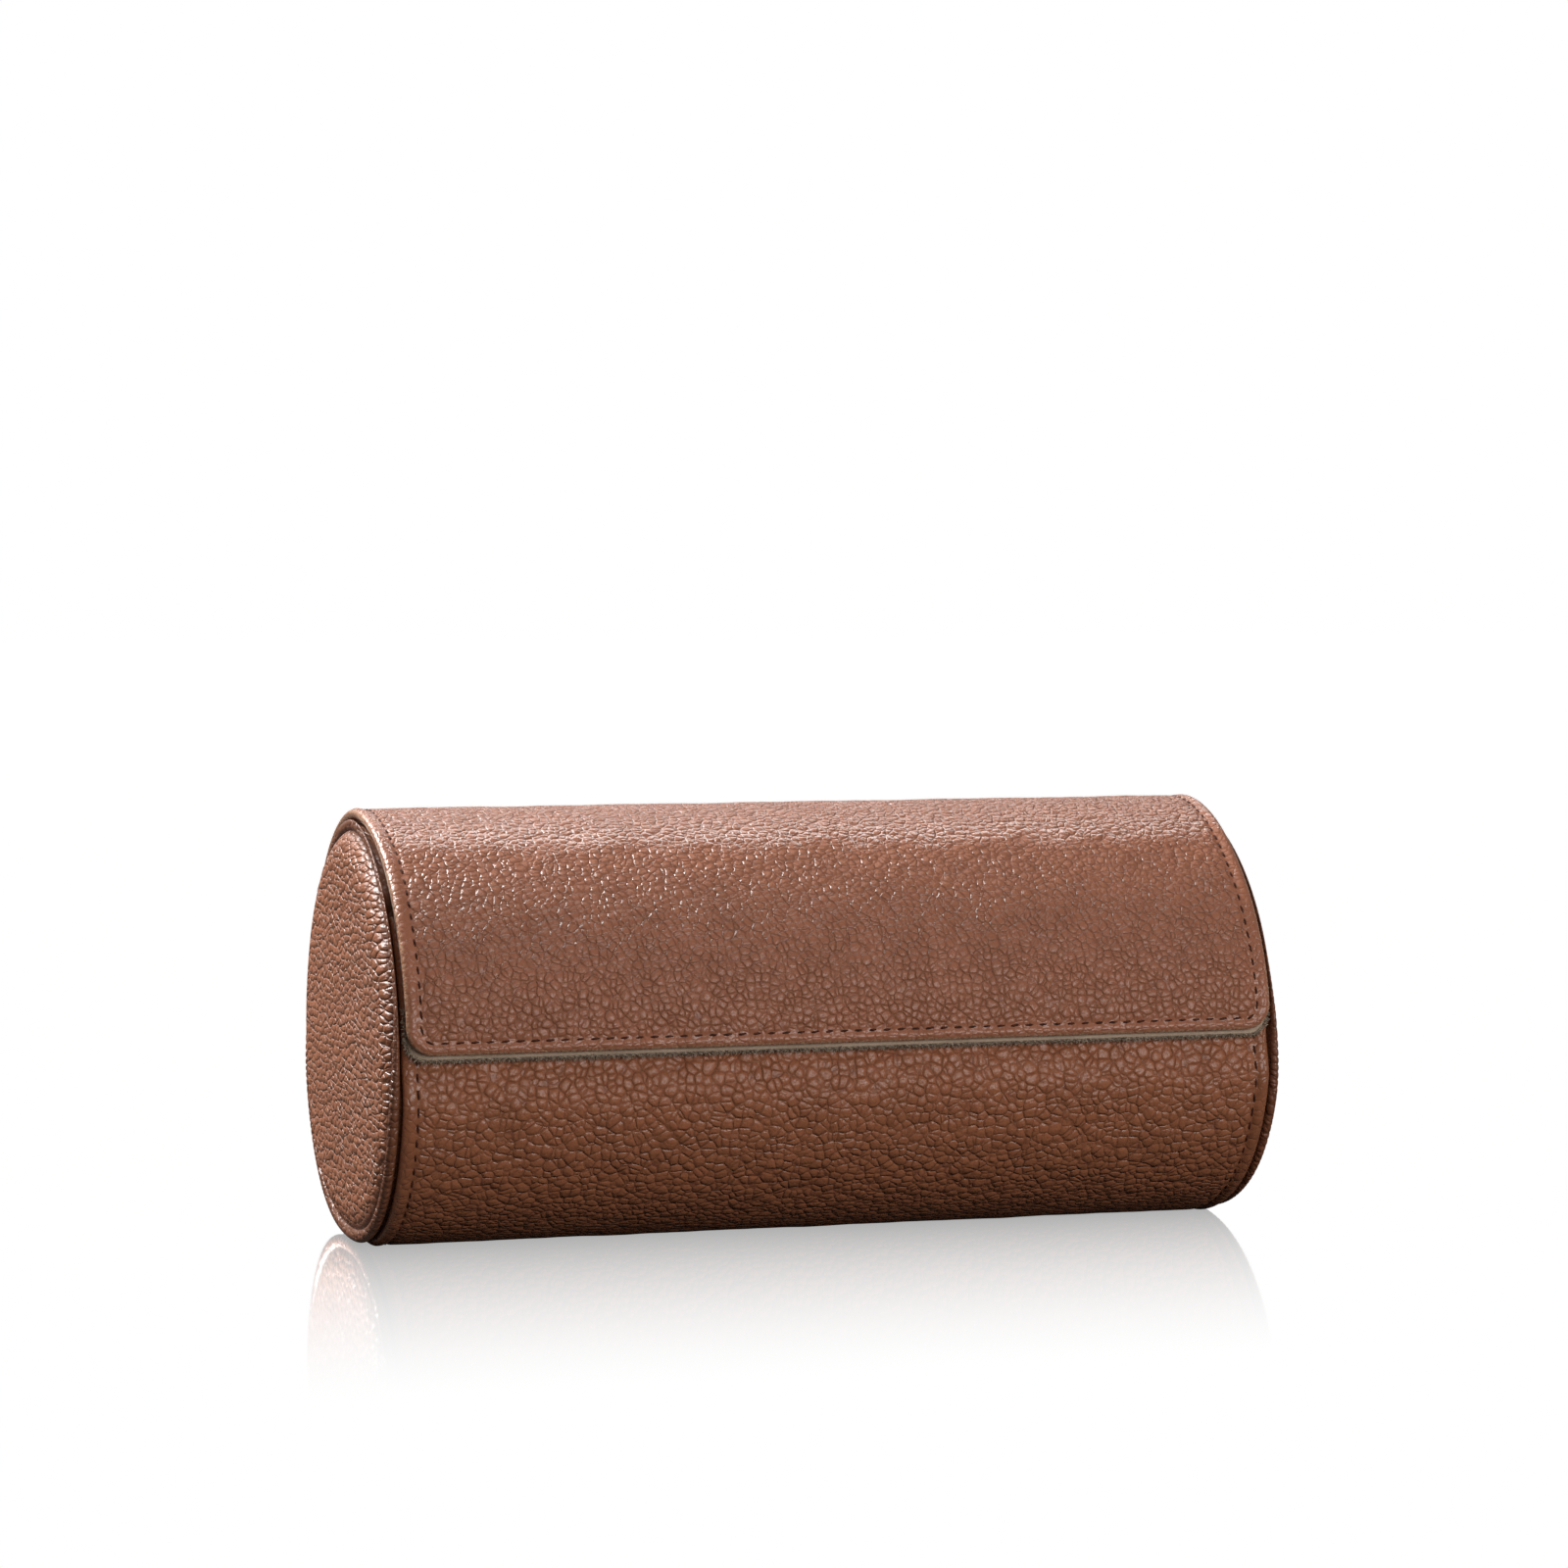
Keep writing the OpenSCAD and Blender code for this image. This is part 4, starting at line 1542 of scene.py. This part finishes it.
@dataclass
class Pillow:
    """A foam pillow in a suede cover, which a watch is strapped round."""

    section: Section
    place: Place
    pitch: float
    half_len: float
    depth: float = 66.0
    height: float = 52.0
    mid_z: float = 29.6
    draw_in: float = 9.0
    cover: float = 1.6
    power: float = 2.3
    gather: float = 0.35
    seam: float = 0.86
    seam_depth: float = 0.9
    around: int = 192

    def _turns(self) -> Array:
        """Angles round the pillow."""
        return np.linspace(0, 2 * math.pi, self.around, endpoint=False)

    def _ring(self, x: float, inset: float | Array, share: float = 1.0) -> Array:
        """A ring of the pillow, so far in from its fullest section."""
        turn = self._turns()
        y = (self.depth / 2 - inset) * signed_power(np.cos(turn), 2 / self.power) * share
        z = (self.height / 2 - inset) * signed_power(np.sin(turn), 2 / self.power) * share
        middle = [self.place.value * self.pitch + x, self.section.centre[0], self.mid_z]
        return np.stack([np.zeros_like(y), y, z], -1) + middle

    def _drawn(self, u: float) -> float:
        """How far the pillow is drawn in at a share of its half length."""
        return self.draw_in * (1 - (1 - abs(u) ** 5) ** 0.5)

    def _gathers(self, depth: float, phase: float) -> Array:
        """Gathers of the cover round its end seam."""
        turn = self._turns()
        wave = np.sin(46 * turn + phase) + 0.5 * np.sin(31 * turn + 2.3 * phase)
        return depth * wave * (0.6 + 0.4 * np.sin(3 * turn + phase))

    def cover_rings(self) -> Array:
        """Rings of the suede cover from one end to the other."""
        half, gathers = self.half_len, self._gathers(self.gather, 1.0 + self.place.value)
        inner = (0.02, 0.25, 0.5, 0.72, 0.9)
        rings = [self._ring(-half + 0.9 * share * share, self.draw_in, share) for share in inner]
        for u in np.linspace(-1, 1, 61):
            fold = gathers * math.exp(-(((abs(u) - 0.8) / 0.13) ** 2))
            line = self.seam_depth * math.exp(-(((abs(u) - self.seam) / 0.02) ** 2))
            rings.append(self._ring(half * u * 0.985, self._drawn(u) + fold + line))
        rings += [self._ring(half - 0.9 * share * share, self.draw_in, share) for share in inner[::-1]]
        return np.array(rings)

    def core_rings(self) -> Array:
        """Rings of the foam inside the cover."""
        half = self.half_len - self.cover
        return np.array([self._ring(half * u, self.cover + self._drawn(u)) for u in np.linspace(-1, 1, 25)])

    def build(self) -> None:
        """Builds the pillow's cover and its foam."""
        suffix = self.place.name.lower()
        cover = make_piece(f"watch_pillow_{suffix}", *ring_loft(self.cover_rings()), PILLOW_SUEDE)
        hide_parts(f"pillow_cover_{suffix}")
        foam = make_piece(f"pillow_core_{suffix}", *ring_loft(self.core_rings()), FOAM)
        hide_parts(f"pillow_foam_{suffix}")
        for piece in (cover, foam):
            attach(piece, f"pillow_{suffix}")


def dress_hidden_nodes(nodes: dict[str, bpy.types.Object]) -> None:
    """Gives the boards and magnets their finishes."""
    for name, node in nodes.items():
        for word, finish in (("board", BOARD), ("magnet", NICKEL)):
            if word in name:
                node.data.materials.clear()
                node.data.materials.append(finish.material())


# Studio


@dataclass(frozen=True)
class Softbox:
    """A rectangular lamp that points at the roll."""

    name: str
    place: tuple[float, float, float]
    size: tuple[float, float]
    watts: float

    def build(self, target: tuple[float, float, float]) -> None:
        """Hangs the lamp and turns it to a point."""
        lamp = bpy.data.lights.new(self.name, "AREA")
        lamp.shape = "RECTANGLE"
        lamp.size, lamp.size_y = self.size
        lamp.energy = self.watts
        holder = bpy.data.objects.new(self.name, lamp)
        bpy.context.scene.collection.objects.link(holder)
        holder.location = self.place
        holder.visible_camera = False
        toward = Vector(target) - holder.location
        holder.rotation_euler = toward.to_track_quat("-Z", "Y").to_euler()


@dataclass(frozen=True)
class Studio:
    """Pale floor, soft light and the camera. Places are metres."""

    lens: float = 102.34
    camera_place: tuple[float, float, float] = (-0.2882, -0.9886, 0.1570)
    camera_yaw: float = 16.268
    camera_pitch: float = 3.088
    ambient: float = 0.16
    backdrop: float = 0.4
    mirror_span: tuple[float, float] = (-0.19, -0.005)
    mirror_power: float = 1.5
    mirror_share: float = 0.6
    target: tuple[float, float, float] = (0.0, 0.0, 0.05)
    boxes: tuple[Softbox, ...] = (
        Softbox("front_box", (0.42, -1.15, 0.32), (1.0, 0.5), 8.4),
        Softbox("rear_box", (0.15, 0.88, 0.6), (1.0, 0.08), 2.6),
        Softbox("top_box", (-0.1, 0.1, 0.95), (1.2, 0.35), 1.8),
        Softbox("left_box", (-0.55, 0.5, 0.72), (0.38, 0.38), 16.5),
    )

    def build(self) -> None:
        """Builds the whole studio."""
        self._camera()
        self._world()
        self._floor()
        for box in self.boxes:
            box.build(self.target)
        bpy.context.scene.view_settings.view_transform = "Standard"

    def _camera(self) -> None:
        """Camera at the photograph's viewing angle."""
        data = bpy.data.cameras.new("camera")
        data.lens = self.lens
        data.sensor_width = 36.0
        data.clip_start, data.clip_end = 0.01, 50.0
        camera = bpy.data.objects.new("camera", data)
        camera.location = self.camera_place
        camera.rotation_euler = (math.radians(90 - self.camera_pitch), 0.0, math.radians(-self.camera_yaw))
        bpy.context.scene.collection.objects.link(camera)
        bpy.context.scene.camera = camera

    def _world(self) -> None:
        """White background, which lights the roll only from behind."""
        world = bpy.data.worlds.new("studio")
        bpy.context.scene.world = world
        graph = Graph.fresh(world)
        toward = graph.out("ShaderNodeTexCoord", output="Generated")
        yaw = math.radians(self.camera_yaw)
        facing = graph.vector("DOT_PRODUCT", toward, (math.sin(yaw), math.cos(yaw), 0.0), "Value")
        strength = graph.ramp(facing, 0.92, 0.965, self.ambient, self.backdrop)
        light = graph.out("ShaderNodeBackground", {"Color": WHITE, "Strength": strength})
        shown = graph.out("ShaderNodeBackground", {"Color": WHITE, "Strength": 1.0})
        graph.add("ShaderNodeOutputWorld", {"Surface": graph.split(light, shown)})

    def _floor(self) -> None:
        """White floor that mirrors the roll, less and less towards the front, and is dark to other rays."""
        mesh = bpy.data.meshes.new("floor")
        corners = [(x * FLOOR_HALF, y * FLOOR_HALF, 0) for x, y in ((-1, -1), (1, -1), (1, 1), (-1, 1))]
        mesh.from_pydata(corners, [], [(0, 1, 2, 3)])
        floor = bpy.data.objects.new("floor", mesh)
        bpy.context.scene.collection.objects.link(floor)
        material = bpy.data.materials.new("studio_floor")
        graph = Graph.fresh(material)
        depth = graph.out("ShaderNodeSeparateXYZ", {0: graph.place()}, "Y")
        far, near = self.mirror_span
        near = {"Value": depth, "From Min": far, "From Max": near, "To Min": 0.0, "To Max": 1.0}
        close = graph.out("ShaderNodeMapRange", near, "Result")
        share = graph.product(graph.maths("POWER", close, self.mirror_power), self.mirror_share)
        glow = graph.out("ShaderNodeEmission", {"Color": WHITE, "Strength": 1.0})
        gain = 1 / self.backdrop
        mirror = graph.out("ShaderNodeBsdfGlossy", {"Color": (gain, gain, gain, 1), "Roughness": 0.05})
        shown = graph.out("ShaderNodeMixShader", {0: share, 1: glow, 2: mirror})
        lit = graph.out("ShaderNodeBsdfDiffuse", {"Color": (0.06, 0.055, 0.05, 1)})
        graph.add("ShaderNodeOutputMaterial", {"Surface": graph.split(lit, shown)})
        mesh.materials.append(material)


def main() -> None:
    """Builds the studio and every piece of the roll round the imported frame."""
    logging.basicConfig(level=logging.INFO, format="%(message)s")
    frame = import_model()
    Studio().build()
    section = Section()
    tube_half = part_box("case_leather")[1].x / MM
    flap_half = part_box("flap_leather")[1].x / MM
    inner_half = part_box("case_lining")[1].x / MM
    divider_x = sum(corner.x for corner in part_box("divider_suede_right")) / 2 / MM
    pillow_low, pillow_high = (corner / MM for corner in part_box("pillow_cover_right"))
    Case(section, tube_half, inner_half).build()
    Fold(section, tube_half, flap_half, inner_half).build()
    Flap(section, flap_half).build()
    for side in Side:
        EndCap(section, side, tube_half).build()
        Divider(section, side, side.value * divider_x).build()
    pitch, pillow_half = (pillow_low.x + pillow_high.x) / 2, (pillow_high.x - pillow_low.x) / 2
    for place in Place:
        Pillow(section, place, pitch, pillow_half).build()
    dress_hidden_nodes(frame["nodes"])


if __name__ == "__main__":
    main()
